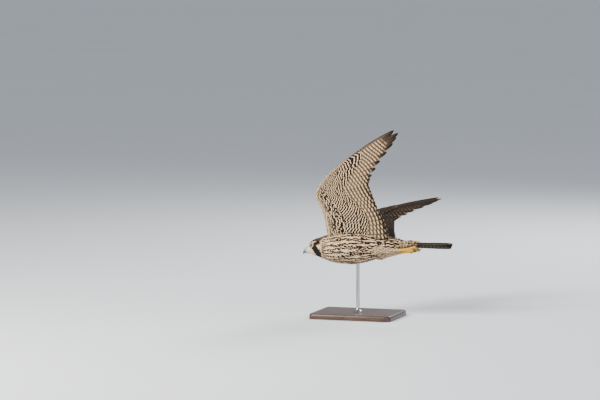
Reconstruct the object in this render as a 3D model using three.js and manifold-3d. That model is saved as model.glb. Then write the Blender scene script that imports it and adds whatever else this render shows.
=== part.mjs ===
// A life-size peregrine falcon in a flexed-wing glide, banked on a plain display stand.
// Millimetres, +Z up. The bird heads towards -X, and its left side faces -Y.
// Bird frame, before it is banked: x runs back from the tip of the bill, y to the bird's right,
// z up, with z = 0 on the axis of the body.

import * as THREE from 'three';
import { mergeVertices } from 'three/addons/utils/BufferGeometryUtils.js';
import Module from 'manifold-3d';

const wasm = await Module();
wasm.setup();

// Attitude of the bird, in degrees, and the gap between parts that touch
const BANK = 26.7;
const NOSE_DOWN = 2;
const GAP = 0.3;

// Head: its frame is tilted nose down about a centre, and has u back and v up
const HEAD_CENTRE = { x: 40, z: -4 };
const HEAD_TILT = 15;
const EYE = { u: -8.7, v: 2.2, y: 14.6, radius: 7.6, forward: 24 };
const LID = { radius: 6.3, thickness: 1.1, out: 4.3 };
const MOUTH = { from: -24, to: -11, v: -6.6, drop: 2.2, width: 0.7, depth: 1.6 };
const NOSTRIL = { u: -25.2, v: 3.6, radius: 1.7, pit: 8.4, knob: 7.2, knobShare: 0.42 };

// Body, from bill base to tail: ring centre x and z, tilt, half width, height above and below
const TRUNK = [
  [17.8, -10.0, 15, 9.5, 7.5, 12.5],
  [21.6, -8.9, 15, 13.0, 13.5, 15.5],
  [27.4, -7.4, 15, 17.0, 19.5, 20.5],
  [35.2, -5.3, 15, 20.5, 23.5, 25.5],
  [44.8, -2.7, 15, 23.0, 25.0, 32.5],
  [55.0, -0.8, 13, 25.0, 26.5, 38.5],
  [66.0, 0.0, 10, 28.5, 29.5, 43.0],
  [80.0, -0.8, 5, 35.0, 34.5, 45.0],
  [97.0, -2.0, 2, 42.0, 40.0, 47.0],
  [118.0, -3.0, 0, 48.0, 44.0, 48.0],
  [145.0, -3.5, 0, 50.5, 46.0, 49.0],
  [175.0, -3.0, 0, 48.0, 44.0, 47.0],
  [205.0, -2.0, 0, 42.0, 39.0, 41.5],
  [235.0, 0.0, 0, 34.0, 32.5, 34.0],
  [262.0, 2.0, 0, 27.0, 25.5, 26.5],
  [285.0, 3.0, 0, 21.5, 18.5, 19.5],
  [305.0, 3.5, 0, 18.0, 12.5, 13.5],
  [330.0, 3.8, 0, 15.0, 7.0, 8.0],
  [352.0, 4.0, 0, 12.0, 3.2, 3.6],
];
const HEAD_END = 58;
const NECK_END = 92;
const TORSO_END = 300;
const TRUNK_END = 352;
const TRUNK_SIDES = 28;
const HEAD_SPACING = 3.4;
const NECK_SPACING = 8;
const BODY_SPACING = 13;

// Wing plane: it leaves the shoulder at DIHEDRAL above the horizontal of the bird frame
const SHOULDER = { x: 108, y: 28, z: 16 };
const DIHEDRAL = 47;

const degrees = THREE.MathUtils.degToRad;

// Value of column k of a station table at x, on a smooth curve through the rows
function station(table, x, k) {
  let i = 0;
  while (i < table.length - 2 && x > table[i + 1][0]) i += 1;
  const slope = (j) => {
    const a = table[Math.max(0, j - 1)];
    const b = table[Math.min(table.length - 1, j + 1)];
    return (b[k] - a[k]) / (b[0] - a[0]);
  };
  const [a, b] = [table[i], table[i + 1]];
  const span = b[0] - a[0];
  const t = Math.min(1, Math.max(0, (x - a[0]) / span));
  const bend = t * t * (3 - 2 * t);
  const start = t * (1 - t) * (1 - t) * span * slope(i);
  const end = t * t * (t - 1) * span * slope(i + 1);
  return a[k] + (b[k] - a[k]) * bend + start + end;
}

// Manifold solid from points and triangles, turned so that its faces point out
function solid(points, triangles) {
  let volume = 0;
  for (const [a, b, c] of triangles) {
    volume += points[a].dot(new THREE.Vector3().crossVectors(points[b], points[c]));
  }
  const faces = volume < 0 ? triangles.map(([a, b, c]) => [a, c, b]) : triangles;
  const mesh = new wasm.Mesh({
    numProp: 3,
    vertProperties: new Float32Array(points.flatMap((p) => [p.x, p.y, p.z])),
    triVerts: new Uint32Array(faces.flat()),
  });
  return new wasm.Manifold(mesh);
}

// Manifold solid from a closed three.js geometry
function fromGeometry(geometry) {
  const bare = geometry.clone();
  bare.deleteAttribute('normal');
  bare.deleteAttribute('uv');
  const merged = mergeVertices(bare, 1e-3);
  const position = merged.getAttribute('position');
  const points = [];
  for (let i = 0; i < position.count; i += 1) {
    points.push(new THREE.Vector3().fromBufferAttribute(position, i));
  }
  const triangles = [];
  for (let i = 0; i < merged.index.count; i += 3) {
    const [a, b, c] = [0, 1, 2].map((k) => merged.index.getX(i + k));
    if (a !== b && b !== c && a !== c) triangles.push([a, b, c]);
  }
  return solid(points, triangles);
}

// Loft through rings of equal length, closed over each end by a fan about its middle
function loft(rings) {
  const count = rings[0].length;
  const points = rings.flat();
  const triangles = [];
  for (let r = 0; r + 1 < rings.length; r += 1) {
    for (let i = 0; i < count; i += 1) {
      const a = r * count + i;
      const b = r * count + ((i + 1) % count);
      triangles.push([a, b, b + count], [a, b + count, a + count]);
    }
  }
  for (const [ring, base, turn] of [[rings[0], 0, 1], [rings.at(-1), points.length - count, 0]]) {
    const middle = points.length;
    points.push(ring.reduce((sum, p) => sum.add(p), new THREE.Vector3()).divideScalar(count));
    for (let i = 0; i < count; i += 1) {
      const edge = [base + i, base + ((i + 1) % count)];
      triangles.push(turn ? [edge[1], edge[0], middle] : [edge[0], edge[1], middle]);
    }
  }
  return solid(points, triangles);
}

// Round limb along a list of [x, y, z, radius], with sides faces around
function limb(path, sides = 8) {
  const points = path.map(([x, y, z]) => new THREE.Vector3(x, y, z));
  const rings = points.map((p, i) => {
    const next = points[Math.min(i + 1, points.length - 1)];
    const along = next.clone().sub(points[Math.max(i - 1, 0)]).normalize();
    const across = new THREE.Vector3(0, 1, 0.001).cross(along).normalize();
    const up = along.clone().cross(across);
    return Array.from({ length: sides }, (_, k) => {
      const turn = (2 * Math.PI * (k + 0.5)) / sides;
      return p.clone()
        .addScaledVector(across, path[i][3] * Math.cos(turn))
        .addScaledVector(up, path[i][3] * Math.sin(turn));
    });
  });
  return loft(rings);
}

const union = (solids) => wasm.Manifold.union(solids);

// The largest closed surface of a solid, without sealed hollows or loose scraps
function largest(part) {
  return part.decompose().reduce((best, piece) => (piece.volume() > best.volume() ? piece : best));
}

// Ring of the body at x, grown outwards by grow
function trunkRing(x, grow = 0) {
  const [z, tilt, width, above, below] = [1, 2, 3, 4, 5].map((k) => station(TRUNK, x, k));
  const back = degrees(tilt);
  return Array.from({ length: TRUNK_SIDES }, (_, k) => {
    const turn = (2 * Math.PI * k) / TRUNK_SIDES;
    const [side, rise] = [Math.sin(turn), Math.cos(turn)];
    const height = (rise > 0 ? above : below) + grow;
    const v = height * Math.sign(rise) * Math.abs(rise) ** 0.92;
    const y = (width + grow) * Math.sign(side) * Math.abs(side) ** 0.92;
    const bulge = faceForm(x, y, v);
    return new THREE.Vector3(x - v * Math.sin(back), y + bulge * Math.sign(y), z + v * Math.cos(back));
  });
}

// Brow over the eye, and the hollow of the lores in front of it
function faceForm(x, y, v) {
  const near = (value, centre, spread) => Math.exp(-(((value - centre) / spread) ** 2));
  const brow = 2.2 * near(x, 30, 9) * near(v, 10.5, 4);
  const lores = -1.4 * near(x, 23, 4) * near(v, 2, 4);
  const cheek = 1.0 * near(x, 42, 9) * near(v, -10, 8);
  return Math.abs(y) > 4 ? brow + lores + cheek : 0;
}

function trunk(from, to, spacing, grow = 0) {
  const steps = Math.max(2, Math.round((to - from) / spacing));
  const rings = [];
  for (let i = 0; i <= steps; i += 1) rings.push(trunkRing(from + ((to - from) * i) / steps, grow));
  return loft(rings);
}

// Point of the bird frame from head coordinates u back, v up and y
function headPoint(u, y, v) {
  const tilt = degrees(HEAD_TILT);
  return new THREE.Vector3(
    HEAD_CENTRE.x + u * Math.cos(tilt) - v * Math.sin(tilt),
    y,
    HEAD_CENTRE.z + u * Math.sin(tilt) + v * Math.cos(tilt),
  );
}

const eyeAxis = (side) => {
  const turn = degrees(EYE.forward);
  const tilt = degrees(HEAD_TILT);
  return new THREE.Vector3(
    -Math.sin(turn) * Math.cos(tilt),
    side * Math.cos(turn),
    -Math.sin(turn) * Math.sin(tilt),
  );
};

const eyeCentre = (side) => headPoint(EYE.u, side * EYE.y, EYE.v);

function eyeball(side, grow = 0) {
  const centre = eyeCentre(side);
  const ball = fromGeometry(new THREE.SphereGeometry(EYE.radius + grow, 14, 10));
  return ball.translate([centre.x, centre.y, centre.z]);
}

// Rim of the lids round one eye
function lids(side) {
  const ring = new THREE.TorusGeometry(LID.radius, LID.thickness, 5, 16);
  const axis = eyeAxis(side);
  ring.applyQuaternion(new THREE.Quaternion().setFromUnitVectors(new THREE.Vector3(0, 0, 1), axis));
  const at = eyeCentre(side).addScaledVector(axis, LID.out);
  return fromGeometry(ring).translate([at.x, at.y, at.z]);
}

// Thin slab that cuts the line of the mouth into one side of the face
function mouthLine(side) {
  const rings = [];
  const steps = 4;
  for (let i = 0; i <= steps; i += 1) {
    const u = MOUTH.from + ((MOUTH.to - MOUTH.from) * i) / steps;
    const v = MOUTH.v - MOUTH.drop * (i / steps) ** 2;
    const x = HEAD_CENTRE.x + u * Math.cos(degrees(HEAD_TILT));
    const inner = station(TRUNK, x, 3) * 0.93 - MOUTH.depth;
    const half = (MOUTH.width / 2) * (1 - 0.6 * (i / steps));
    rings.push([[inner, -half], [inner + 12, -half], [inner + 12, half], [inner, half]]
      .map(([y, dv]) => headPoint(u, side * y, v + dv)));
  }
  return loft(rings);
}

function headNode() {
  const flesh = trunk(TRUNK[0][0], HEAD_END - GAP / 2, HEAD_SPACING);
  const rims = [-1, 1].map(lids);
  const cuts = [-1, 1].flatMap((side) => [eyeball(side, GAP), mouthLine(side)]);
  return largest(union([flesh, ...rims]).subtract(union(cuts)));
}

// Bill half: rows of [top u, top v, edge u, edge v, half width]; the edge is where the halves meet
const UPPER_BILL = [
  [-18.0, 9.5, -15.0, -6.2, 8.2],
  [-22.5, 10.2, -21.0, -6.2, 9.4],
  [-27.0, 9.8, -26.0, -6.0, 8.8],
  [-30.5, 8.3, -29.0, -5.6, 7.3],
  [-34.5, 5.8, -32.0, -5.2, 6.2],
  [-38.2, 2.2, -35.0, -6.6, 4.9],
  [-40.8, -2.0, -37.4, -6.0, 3.6],
  [-42.5, -6.2, -39.6, -7.4, 2.2],
  [-42.9, -10.2, -41.6, -10.6, 0.9],
];
const LOWER_BILL = [
  [-15.0, -13.6, -15.0, -6.6, 7.6],
  [-21.0, -13.4, -21.0, -6.6, 8.2],
  [-26.0, -12.6, -26.5, -6.5, 7.4],
  [-31.0, -11.2, -31.5, -6.6, 5.4],
  [-35.0, -9.4, -35.0, -7.3, 3.4],
  [-36.8, -8.6, -36.6, -7.6, 1.6],
];

function billHalf(rows) {
  const rings = rows.map(([topU, topV, edgeU, edgeV, width]) => {
    const arch = Array.from({ length: 9 }, (_, k) => {
      const turn = (Math.PI * k) / 8;
      const rise = Math.sin(turn) ** 0.85;
      const [u, v] = [edgeU + (topU - edgeU) * rise, edgeV + (topV - edgeV) * rise];
      return headPoint(u, width * Math.cos(turn), v);
    });
    return [...arch, headPoint(edgeU, -width * 0.5, edgeV), headPoint(edgeU, width * 0.5, edgeV)];
  });
  return loft(rings);
}

// Nostril: a round pit in the cere with a small bony knob in its middle
function nostrilPit(side) {
  const at = headPoint(NOSTRIL.u, side * NOSTRIL.pit, NOSTRIL.v);
  return fromGeometry(new THREE.SphereGeometry(NOSTRIL.radius, 10, 8)).translate([at.x, at.y, at.z]);
}

function nostrilKnob(side) {
  const at = headPoint(NOSTRIL.u, side * NOSTRIL.knob, NOSTRIL.v);
  const ball = new THREE.SphereGeometry(NOSTRIL.radius * NOSTRIL.knobShare, 6, 4);
  return fromGeometry(ball).translate([at.x, at.y, at.z]);
}

function upperBillNode() {
  const pits = union([-1, 1].map(nostrilPit));
  const knobs = [-1, 1].map(nostrilKnob);
  const bill = union([billHalf(UPPER_BILL).subtract(pits), ...knobs]);
  return largest(bill.subtract(trunk(TRUNK[0][0] - GAP, HEAD_END, HEAD_SPACING, GAP)));
}

function lowerBillNode() {
  return largest(billHalf(LOWER_BILL).subtract(trunk(TRUNK[0][0] - GAP, HEAD_END, HEAD_SPACING, GAP)));
}

// Point of the bird frame from wing coordinates: out along the wing, back along the chord, and up
function wingPoint(side, out, back, up) {
  const rise = degrees(DIHEDRAL);
  return new THREE.Vector3(
    SHOULDER.x + back,
    side * (SHOULDER.y + out * Math.cos(rise) - up * Math.sin(rise)),
    SHOULDER.z + out * Math.sin(rise) + up * Math.cos(rise),
  );
}

// Wing stations: leading edge, rear of the flesh and tips of the flight feathers, each [out, back]
const ARM = [
  { lead: [-20, -23], rear: [-20, 64], trail: [-20, 162], thick: 28 },
  { lead: [24, -27], rear: [22, 68], trail: [26, 160], thick: 25 },
  { lead: [60, -30], rear: [58, 70], trail: [66, 149], thick: 20 },
  { lead: [95, -38], rear: [92, 52], trail: [104, 136], thick: 17 },
  { lead: [122, -49], rear: [124, 22], trail: [136, 128], thick: 14 },
  { lead: [141, -49], rear: [148, 2], trail: [168, 120], thick: 12 },
];
const HAND = [
  { lead: [137, -50], rear: [143, -1], thick: 12.5 },
  { lead: [170, -30], rear: [163, 15], thick: 11 },
  { lead: [200, 0], rear: [182, 32], thick: 9 },
  { lead: [227, 34], rear: [208, 52], thick: 6.5 },
  { lead: [244, 58], rear: [233, 68], thick: 3 },
];

// Flight feathers: count, share of the flesh between its rear and the root, half widths, tilt
const SECONDARIES = {
  count: 13, from: 0.3, to: 4.72, inset: 0.3, lead: 9, trail: 12.5, sweep: -2, sag: 5,
};
const PRIMARIES = {
  count: 10, firstRoot: [156, -5], lastRoot: [222, 40], lead: 6.5, trail: 15, sweep: 4, sag: 5,
};
const PRIMARY_TIPS = [
  [1, 177, 123],
  [3, 197, 133],
  [5, 241, 163],
  [7, 294, 208],
  [9, 325.5, 227.5],
  [10, 334, 215],
];
const TILT = 0.13;

// Coverts: rows above and below the flight feathers, as shares of the feather they cover
const ARM_COVERTS = {
  count: 11, from: 0.4, to: 4.66, inset: 0.24, reach: 32, lead: 7.5, trail: 10, above: 4.4, below: -4.9,
};
const HAND_COVERTS = { count: 9, reach: 0.37, lead: 5.5, trail: 9, above: 4.2, below: -4.6 };
const ALULA = { count: 2, root: [156, -34], tip: [202, 10], step: [-7, -1], lead: 5, trail: 6, up: 4.5 };

// Outlines of feathers: share of the length, then shares of the leading and trailing half widths
const LONG_VANE = [
  [0, 0.3, 0.25],
  [0.18, 0.9, 0.8],
  [0.5, 1, 1],
  [0.78, 0.7, 0.95],
  [0.93, 0.45, 0.55],
  [1, 0.12, 0.12],
];
const BROAD_VANE = [[0, 0.35, 0.3], [0.25, 0.9, 0.9], [0.7, 1, 1], [0.93, 0.7, 0.75], [1, 0.25, 0.25]];
const SHORT_VANE = [[0, 0.5, 0.5], [0.6, 1, 1], [0.9, 0.75, 0.75], [1, 0.3, 0.3]];
const VANE_ROOT = 1.7;
const VANE_TIP = 0.7;

// Airfoil ring between two planform points, with thick its greatest depth
function airfoilRing(side, lead, rear, thick) {
  const share = [0, 0.05, 0.18, 0.42, 0.72, 1];
  const half = (s) => (thick / 2) * Math.min(1, 1.9 * Math.sqrt(s + 0.01)) * (1 - s ** 1.8) + 0.5;
  const at = (s, sign) => {
    const camber = 0.18 * thick * 4 * s * (1 - s);
    const [out, back] = [0, 1].map((k) => lead[k] + (rear[k] - lead[k]) * s);
    return wingPoint(side, out, back, camber + sign * half(s));
  };
  return [...share.map((s) => at(s, 1)), ...share.toReversed().map((s) => at(s, -1))];
}

function wingFlesh(side, rows) {
  return loft(rows.map((row) => airfoilRing(side, row.lead, row.rear, row.thick)));
}

// Flat plate through rows of [leading point, trailing point, half thickness vector].
// Both faces are split along the same diagonals.
function plate(rows) {
  const points = rows.flatMap(([lead, trail, half]) => [
    lead.clone().add(half),
    trail.clone().add(half),
    trail.clone().sub(half),
    lead.clone().sub(half),
  ]);
  const triangles = [];
  const quad = (a, b, c, d) => triangles.push([a, b, c], [a, c, d]);
  for (let r = 0; r + 1 < rows.length; r += 1) {
    const [a, b] = [4 * r, 4 * r + 4];
    quad(a, a + 1, b + 1, b);
    triangles.push([a + 3, b + 2, a + 2], [a + 3, b + 3, b + 2]);
    quad(a, b, b + 3, a + 3);
    quad(b + 1, a + 1, a + 2, b + 2);
  }
  const last = 4 * rows.length - 4;
  quad(1, 0, 3, 2);
  quad(last, last + 1, last + 2, last + 3);
  return solid(points, triangles);
}

// Vane from root to tip, both [a, b, height], where map gives the point of the bird frame.
// The leading edge is raised and the trailing edge lowered by tilt, so that neighbours shingle.
function vane(map, outline, { root, tip, lead, trail, sweep = 0, sag = 0, tilt = TILT }) {
  const length = Math.hypot(tip[0] - root[0], tip[1] - root[1]);
  const ahead = [(tip[1] - root[1]) / length, -(tip[0] - root[0]) / length];
  const half = map(0, 0, 0.5).sub(map(0, 0, -0.5));
  return plate(outline.map(([t, leadShare, trailShare]) => {
    const bow = sweep * 4 * t * (1 - t);
    const height = root[2] + (tip[2] - root[2]) * t - sag * t * t;
    const edge = (width) => map(
      root[0] + (tip[0] - root[0]) * t + ahead[0] * (bow + width),
      root[1] + (tip[1] - root[1]) * t + ahead[1] * (bow + width),
      height + tilt * width,
    );
    const thick = VANE_ROOT + (VANE_TIP - VANE_ROOT) * t;
    return [edge(lead * leadShare), edge(-trail * trailShare), half.clone().multiplyScalar(thick / 2)];
  }));
}

// Planform point of a station key at a fractional station number
function planform(rows, key, s) {
  const i = Math.min(rows.length - 2, Math.floor(s));
  return [0, 1].map((k) => rows[i][key][k] + (rows[i + 1][key][k] - rows[i][key][k]) * (s - i));
}

const mix = (a, b, t) => a.map((value, k) => value + (b[k] - value) * t);
const spread = (count, from, to, i) => from + ((to - from) * i) / (count - 1);

function armVanes(side) {
  const map = (out, back, up) => wingPoint(side, out, back, up);
  const shaft = (set, i) => {
    const s = spread(set.count, set.from, set.to, i);
    const [lead, rear, trail] = ['lead', 'rear', 'trail'].map((key) => planform(ARM, key, s));
    return { rear, trail, root: mix(rear, lead, set.inset) };
  };
  const vanes = [];
  for (let i = 0; i < SECONDARIES.count; i += 1) {
    const { root, trail } = shaft(SECONDARIES, i);
    vanes.push(vane(map, BROAD_VANE, { ...SECONDARIES, root: [...root, 2.2], tip: [...trail, 1] }));
  }
  for (let i = 0; i < ARM_COVERTS.count; i += 1) {
    const { root, rear, trail } = shaft(ARM_COVERTS, i);
    const bare = Math.hypot(trail[0] - rear[0], trail[1] - rear[1]);
    const tip = mix(rear, trail, ARM_COVERTS.reach / bare);
    for (const [from, to] of [[4, ARM_COVERTS.above], [0, ARM_COVERTS.below]]) {
      vanes.push(vane(map, SHORT_VANE, { ...ARM_COVERTS, root: [...root, from], tip: [...tip, to] }));
    }
  }
  return vanes;
}

function handVanes(side) {
  const map = (out, back, up) => wingPoint(side, out, back, up);
  const shaft = (i) => {
    const tip = [1, 2].map((k) => station(PRIMARY_TIPS, i + 1, k));
    return { root: mix(PRIMARIES.firstRoot, PRIMARIES.lastRoot, i / (PRIMARIES.count - 1)), tip };
  };
  const vanes = [];
  for (let i = 0; i < PRIMARIES.count; i += 1) {
    const { root, tip } = shaft(i);
    vanes.push(vane(map, LONG_VANE, { ...PRIMARIES, root: [...root, 1.2], tip: [...tip, 1] }));
  }
  for (let i = 0; i < HAND_COVERTS.count; i += 1) {
    const { root, tip } = shaft(i);
    const [from, to] = [mix(root, tip, -0.03), mix(root, tip, HAND_COVERTS.reach)];
    for (const [low, high] of [[2, HAND_COVERTS.above], [0, HAND_COVERTS.below]]) {
      vanes.push(vane(map, SHORT_VANE, { ...HAND_COVERTS, root: [...from, low], tip: [...to, high] }));
    }
  }
  for (let i = 0; i < ALULA.count; i += 1) {
    const moved = (point) => point.map((value, k) => value + ALULA.step[k] * i);
    vanes.push(vane(map, SHORT_VANE, {
      ...ALULA, root: [...moved(ALULA.root), 2], tip: [...moved(ALULA.tip), ALULA.up - 1.4 * i],
    }));
  }
  return vanes;
}

// The plane that parts arm from hand, from the wrist to the notch in the rear edge
function wristCut(part, side, keep) {
  const { lead, trail } = ARM.at(-1);
  const [front, notch] = [wingPoint(side, ...lead, 0), wingPoint(side, ...trail, 0)];
  const up = wingPoint(side, 0, 0, 1).sub(wingPoint(side, 0, 0, 0));
  const out = wingPoint(side, 1, 0, 0).sub(wingPoint(side, 0, 0, 0));
  const normal = notch.sub(front).cross(up).normalize();
  normal.multiplyScalar(Math.sign(normal.dot(out)) * keep);
  return part.trimByPlane([normal.x, normal.y, normal.z], normal.dot(front) + GAP / 2);
}

function armNode(side) {
  const wing = union([wingFlesh(side, ARM), ...armVanes(side)]);
  return largest(wristCut(wing, side, -1).subtract(trunk(60, TRUNK_END, BODY_SPACING, GAP)));
}

function handNode(side) {
  return largest(wristCut(union([wingFlesh(side, HAND), ...handVanes(side)]), side, 1));
}

// Closed tail: six pairs of feathers, the middle pair on top, with coverts over and under their roots
const RECTRICES = {
  pairs: 6, root: 308, tip: 457, z: 7.2, step: 1.25, offset: 2.4, fan: 1.35, outer: 9, inner: 13,
};
const TAIL_COVERTS = {
  count: 4, root: 306, length: 46, above: 11.2, below: -4.2, lead: 7, trail: 7, fan: 5.5,
};
const TAIL_FLESH_END = 336;

function tailVanes() {
  const vanes = [];
  for (const side of [-1, 1]) {
    const map = (out, back, up) => new THREE.Vector3(back, side * out, up);
    for (let i = 0; i < RECTRICES.pairs; i += 1) {
      const z = RECTRICES.z - RECTRICES.step * (i + (side > 0 ? 0.5 : 0));
      const across = RECTRICES.offset * (i + 0.5);
      const tip = RECTRICES.tip - 1.6 * i;
      vanes.push(vane(map, BROAD_VANE, {
        root: [across * 0.5, RECTRICES.root, z],
        tip: [across * RECTRICES.fan, tip, z - 2],
        lead: RECTRICES.outer,
        trail: Math.min(RECTRICES.inner, across * 0.9 + 3),
        tilt: 0,
      }));
    }
    for (let i = 0; i < TAIL_COVERTS.count; i += 1) {
      const across = TAIL_COVERTS.fan * (i + 0.35);
      const tip = TAIL_COVERTS.root + TAIL_COVERTS.length - 5 * i;
      const above = { from: 8, to: TAIL_COVERTS.above - 0.9 * i, tilt: -0.1 };
      const below = { from: -2, to: TAIL_COVERTS.below + 0.5 * i, tilt: 0.1 };
      for (const { from, to, tilt } of [above, below]) {
        vanes.push(vane(map, SHORT_VANE, {
          ...TAIL_COVERTS,
          root: [across * 0.7, TAIL_COVERTS.root, from],
          tip: [across, tip, to],
          tilt,
        }));
      }
    }
  }
  return vanes;
}

function tailNode() {
  const tail = union([trunk(TORSO_END + GAP / 2, TAIL_FLESH_END, 9), ...tailVanes()]);
  return largest(tail.subtract(trunk(200, TORSO_END, BODY_SPACING, GAP)));
}

// Legs, folded back under the tail: paths of [x, y, z, radius] for the right side
const THIGH = [
  [212, 16, -17, 13],
  [228, 16.5, -19, 15],
  [250, 14.6, -19.4, 12.4],
  [275, 11.8, -19, 8.4],
  [293, 10.4, -18.4, 5],
];
const TARSUS = [
  [294.2, 10.4, -18.4, 4.4],
  [300, 10.2, -17.6, 4],
  [312, 9.8, -16.4, 3.7],
  [322, 9.5, -15.2, 4.2],
];
const FOOT = [323.0, 9.5, -15.1];
const HUB = [
  [FOOT[0], FOOT[1], FOOT[2], 4.2],
  [FOOT[0] + 4, FOOT[1], FOOT[2] + 0.4, 5.2],
  [FOOT[0] + 9, FOOT[1], FOOT[2] + 1, 3.8],
];
const CLAW = { bend: 6.2, turn: 95, root: 2.35, tip: 0.35 };
const TOES = [
  { name: 'inner', across: -4.4, spread: -0.8, length: 23, radius: 2.8 },
  { name: 'middle', across: 0, spread: 0, length: 28, radius: 3.1 },
  { name: 'outer', across: 5.5, spread: 1.5, length: 24, radius: 2.8 },
  { name: 'hind', across: -2.5, spread: -1, length: 15, radius: 2.9, under: -6.5 },
];

// Path of a limb grown by the gap, all round and at both ends
function grown(path) {
  const [first, last] = [path[0], path.at(-1)];
  const start = [first[0] - GAP, ...first.slice(1)];
  const end = [last[0] + GAP, ...last.slice(1)];
  return [start, ...path.slice(1, -1), end].map(([x, y, z, radius]) => [x, y, z, radius + GAP]);
}

const mirrored = (path, side) => path.map(([x, y, z, r]) => [x, side * y, z, r]);

// Path of a toe, curled towards its sole
function toePath(toe) {
  const drop = toe.under ?? 0;
  return [0, 0.25, 0.55, 0.8, 1].map((t) => [
    FOOT[0] + 3 + toe.length * t,
    FOOT[1] + toe.across * Math.min(1, t * 2.2) + toe.spread * t,
    FOOT[2] + drop * Math.min(1, t * 3) + 3.2 * Math.sin(Math.PI * t * 0.55) + 1.5 * t * t,
    toe.radius * (1 - 0.22 * t),
  ]);
}

function talonPath(toe) {
  const [x, y, z] = toePath(toe).at(-1);
  return [0, 0.35, 0.7, 1].map((t) => {
    const turn = t * degrees(CLAW.turn);
    const radius = CLAW.root + (CLAW.tip - CLAW.root) * t;
    return [x + GAP + CLAW.bend * Math.sin(turn), y, z + CLAW.bend * (1 - Math.cos(turn)), radius];
  });
}

function footNode(side) {
  const toes = TOES.map((toe) => limb(mirrored(toePath(toe), side)));
  const foot = union([limb(mirrored(HUB, side)), ...toes]);
  const cuts = [grown(TARSUS), ...TOES.map((toe) => grown(talonPath(toe)))];
  return largest(foot.subtract(union(cuts.map((path) => limb(mirrored(path, side))))));
}

// Stand: a flat base, and a rod that rises to the belly
const BASE = { length: 250, width: 190, height: 16, corner: 16 };
const ROD = { radius: 5, footRadius: 13, footHeight: 7, under: { x: 168, y: 0 } };
const LIFT = 205;

function baseGeometry() {
  const [x, y, r] = [BASE.length / 2, BASE.width / 2, BASE.corner];
  const outline = new THREE.Shape();
  outline.moveTo(-x + r, -y);
  outline.absarc(x - r, -y + r, r, -Math.PI / 2, 0, false);
  outline.absarc(x - r, y - r, r, 0, Math.PI / 2, false);
  outline.absarc(-x + r, y - r, r, Math.PI / 2, Math.PI, false);
  outline.absarc(-x + r, -y + r, r, Math.PI, 1.5 * Math.PI, false);
  return new THREE.ExtrudeGeometry(outline, { depth: BASE.height, bevelEnabled: false, curveSegments: 5 });
}

function rodProfile(top) {
  const foot = [[0, 0], [ROD.footRadius, 0], [ROD.footRadius, 2.5], [ROD.radius + 1.5, ROD.footHeight]];
  const outline = [...foot, [ROD.radius, ROD.footHeight + 3], [ROD.radius, top], [0, top]];
  return outline.map(([radius, z]) => new THREE.Vector2(radius, z));
}

// The bird's place on the stand
const attitude = new THREE.Matrix4().makeRotationFromEuler(new THREE.Euler(
  degrees(-BANK),
  degrees(-NOSE_DOWN),
  0,
  'YXZ',
));
attitude.setPosition(0, 0, LIFT);

const place = (part) => part.transform(attitude.elements);

function finish(color, roughness, metalness = 0) {
  return new THREE.MeshStandardMaterial({ color, roughness, metalness });
}

const FINISH = {
  body: finish(0xcbb190, 0.85),
  head: finish(0x6b5a47, 0.85),
  wing: finish(0xa58c6c, 0.8),
  tail: finish(0x3a332b, 0.75),
  bill: finish(0xa9b2ad, 0.4),
  eye: finish(0x140d08, 0.08),
  foot: finish(0xe0b133, 0.55),
  talon: finish(0x1b1816, 0.35),
  stand: finish(0x2a2622, 0.45),
  rod: finish(0x8d8f90, 0.3, 1),
};

const group = new THREE.Group();

function addNode(name, part, material) {
  const { vertProperties, triVerts } = part.getMesh();
  const geometry = new THREE.BufferGeometry();
  geometry.setAttribute('position', new THREE.BufferAttribute(new Float32Array(vertProperties), 3));
  geometry.setIndex(new THREE.BufferAttribute(new Uint32Array(triVerts), 1));
  geometry.computeVertexNormals();
  const mesh = new THREE.Mesh(geometry, material);
  mesh.name = name;
  group.add(mesh);
  return mesh;
}

const torso = trunk(NECK_END + GAP / 2, TORSO_END - GAP / 2, BODY_SPACING);
addNode('head', place(headNode()), FINISH.head);
addNode('neck', place(trunk(HEAD_END + GAP / 2, NECK_END - GAP / 2, NECK_SPACING)), FINISH.body);
addNode('torso', place(torso), FINISH.body);
addNode('bill_upper', place(upperBillNode()), FINISH.bill);
addNode('bill_lower', place(lowerBillNode()), FINISH.bill);
addNode('tail', place(tailNode()), FINISH.tail);

for (const [label, side] of [['left', -1], ['right', 1]]) {
  addNode(`eye_${label}`, place(eyeball(side)), FINISH.eye);
  addNode(`wing_arm_${label}`, place(armNode(side)), FINISH.wing);
  addNode(`wing_hand_${label}`, place(handNode(side)), FINISH.wing);
  const thigh = limb(mirrored(THIGH, side), 14).subtract(trunk(150, TRUNK_END, BODY_SPACING, GAP));
  addNode(`thigh_${label}`, place(largest(thigh)), FINISH.body);
  addNode(`tarsus_${label}`, place(limb(mirrored(TARSUS, side))), FINISH.foot);
  addNode(`foot_${label}`, place(footNode(side)), FINISH.foot);
  for (const toe of TOES) {
    addNode(`talon_${label}_${toe.name}`, place(limb(mirrored(talonPath(toe), side), 6)), FINISH.talon);
  }
}

// The rod stands under the body, and its top follows the belly
const under = new THREE.Vector3(ROD.under.x, ROD.under.y, 0).applyMatrix4(attitude);
const rod = fromGeometry(new THREE.LatheGeometry(rodProfile(under.z - BASE.height - GAP), 16))
  .rotate([90, 0, 0])
  .translate([under.x, under.y, BASE.height + GAP])
  .subtract(place(trunk(NECK_END, TORSO_END, BODY_SPACING, GAP)));
addNode('stand_rod', largest(rod), FINISH.rod);
addNode('stand_base', fromGeometry(baseGeometry()).translate([under.x, under.y, 0]), FINISH.stand);

// The origin is under the middle of the whole model
const extent = new THREE.Box3().setFromObject(group);
const middle = extent.getCenter(new THREE.Vector3());
group.position.set(-middle.x, -middle.y, 0);

export default group;
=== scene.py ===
# A life-size peregrine falcon in a flexed-wing glide, banked on a plain display stand.
# Sizes are in millimetres in the bird frame: x runs back from the tip of the bill, y to the
# bird's right, z up. to_row() turns them into metres in the row frame.

import math
from functools import partial, partialmethod

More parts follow.
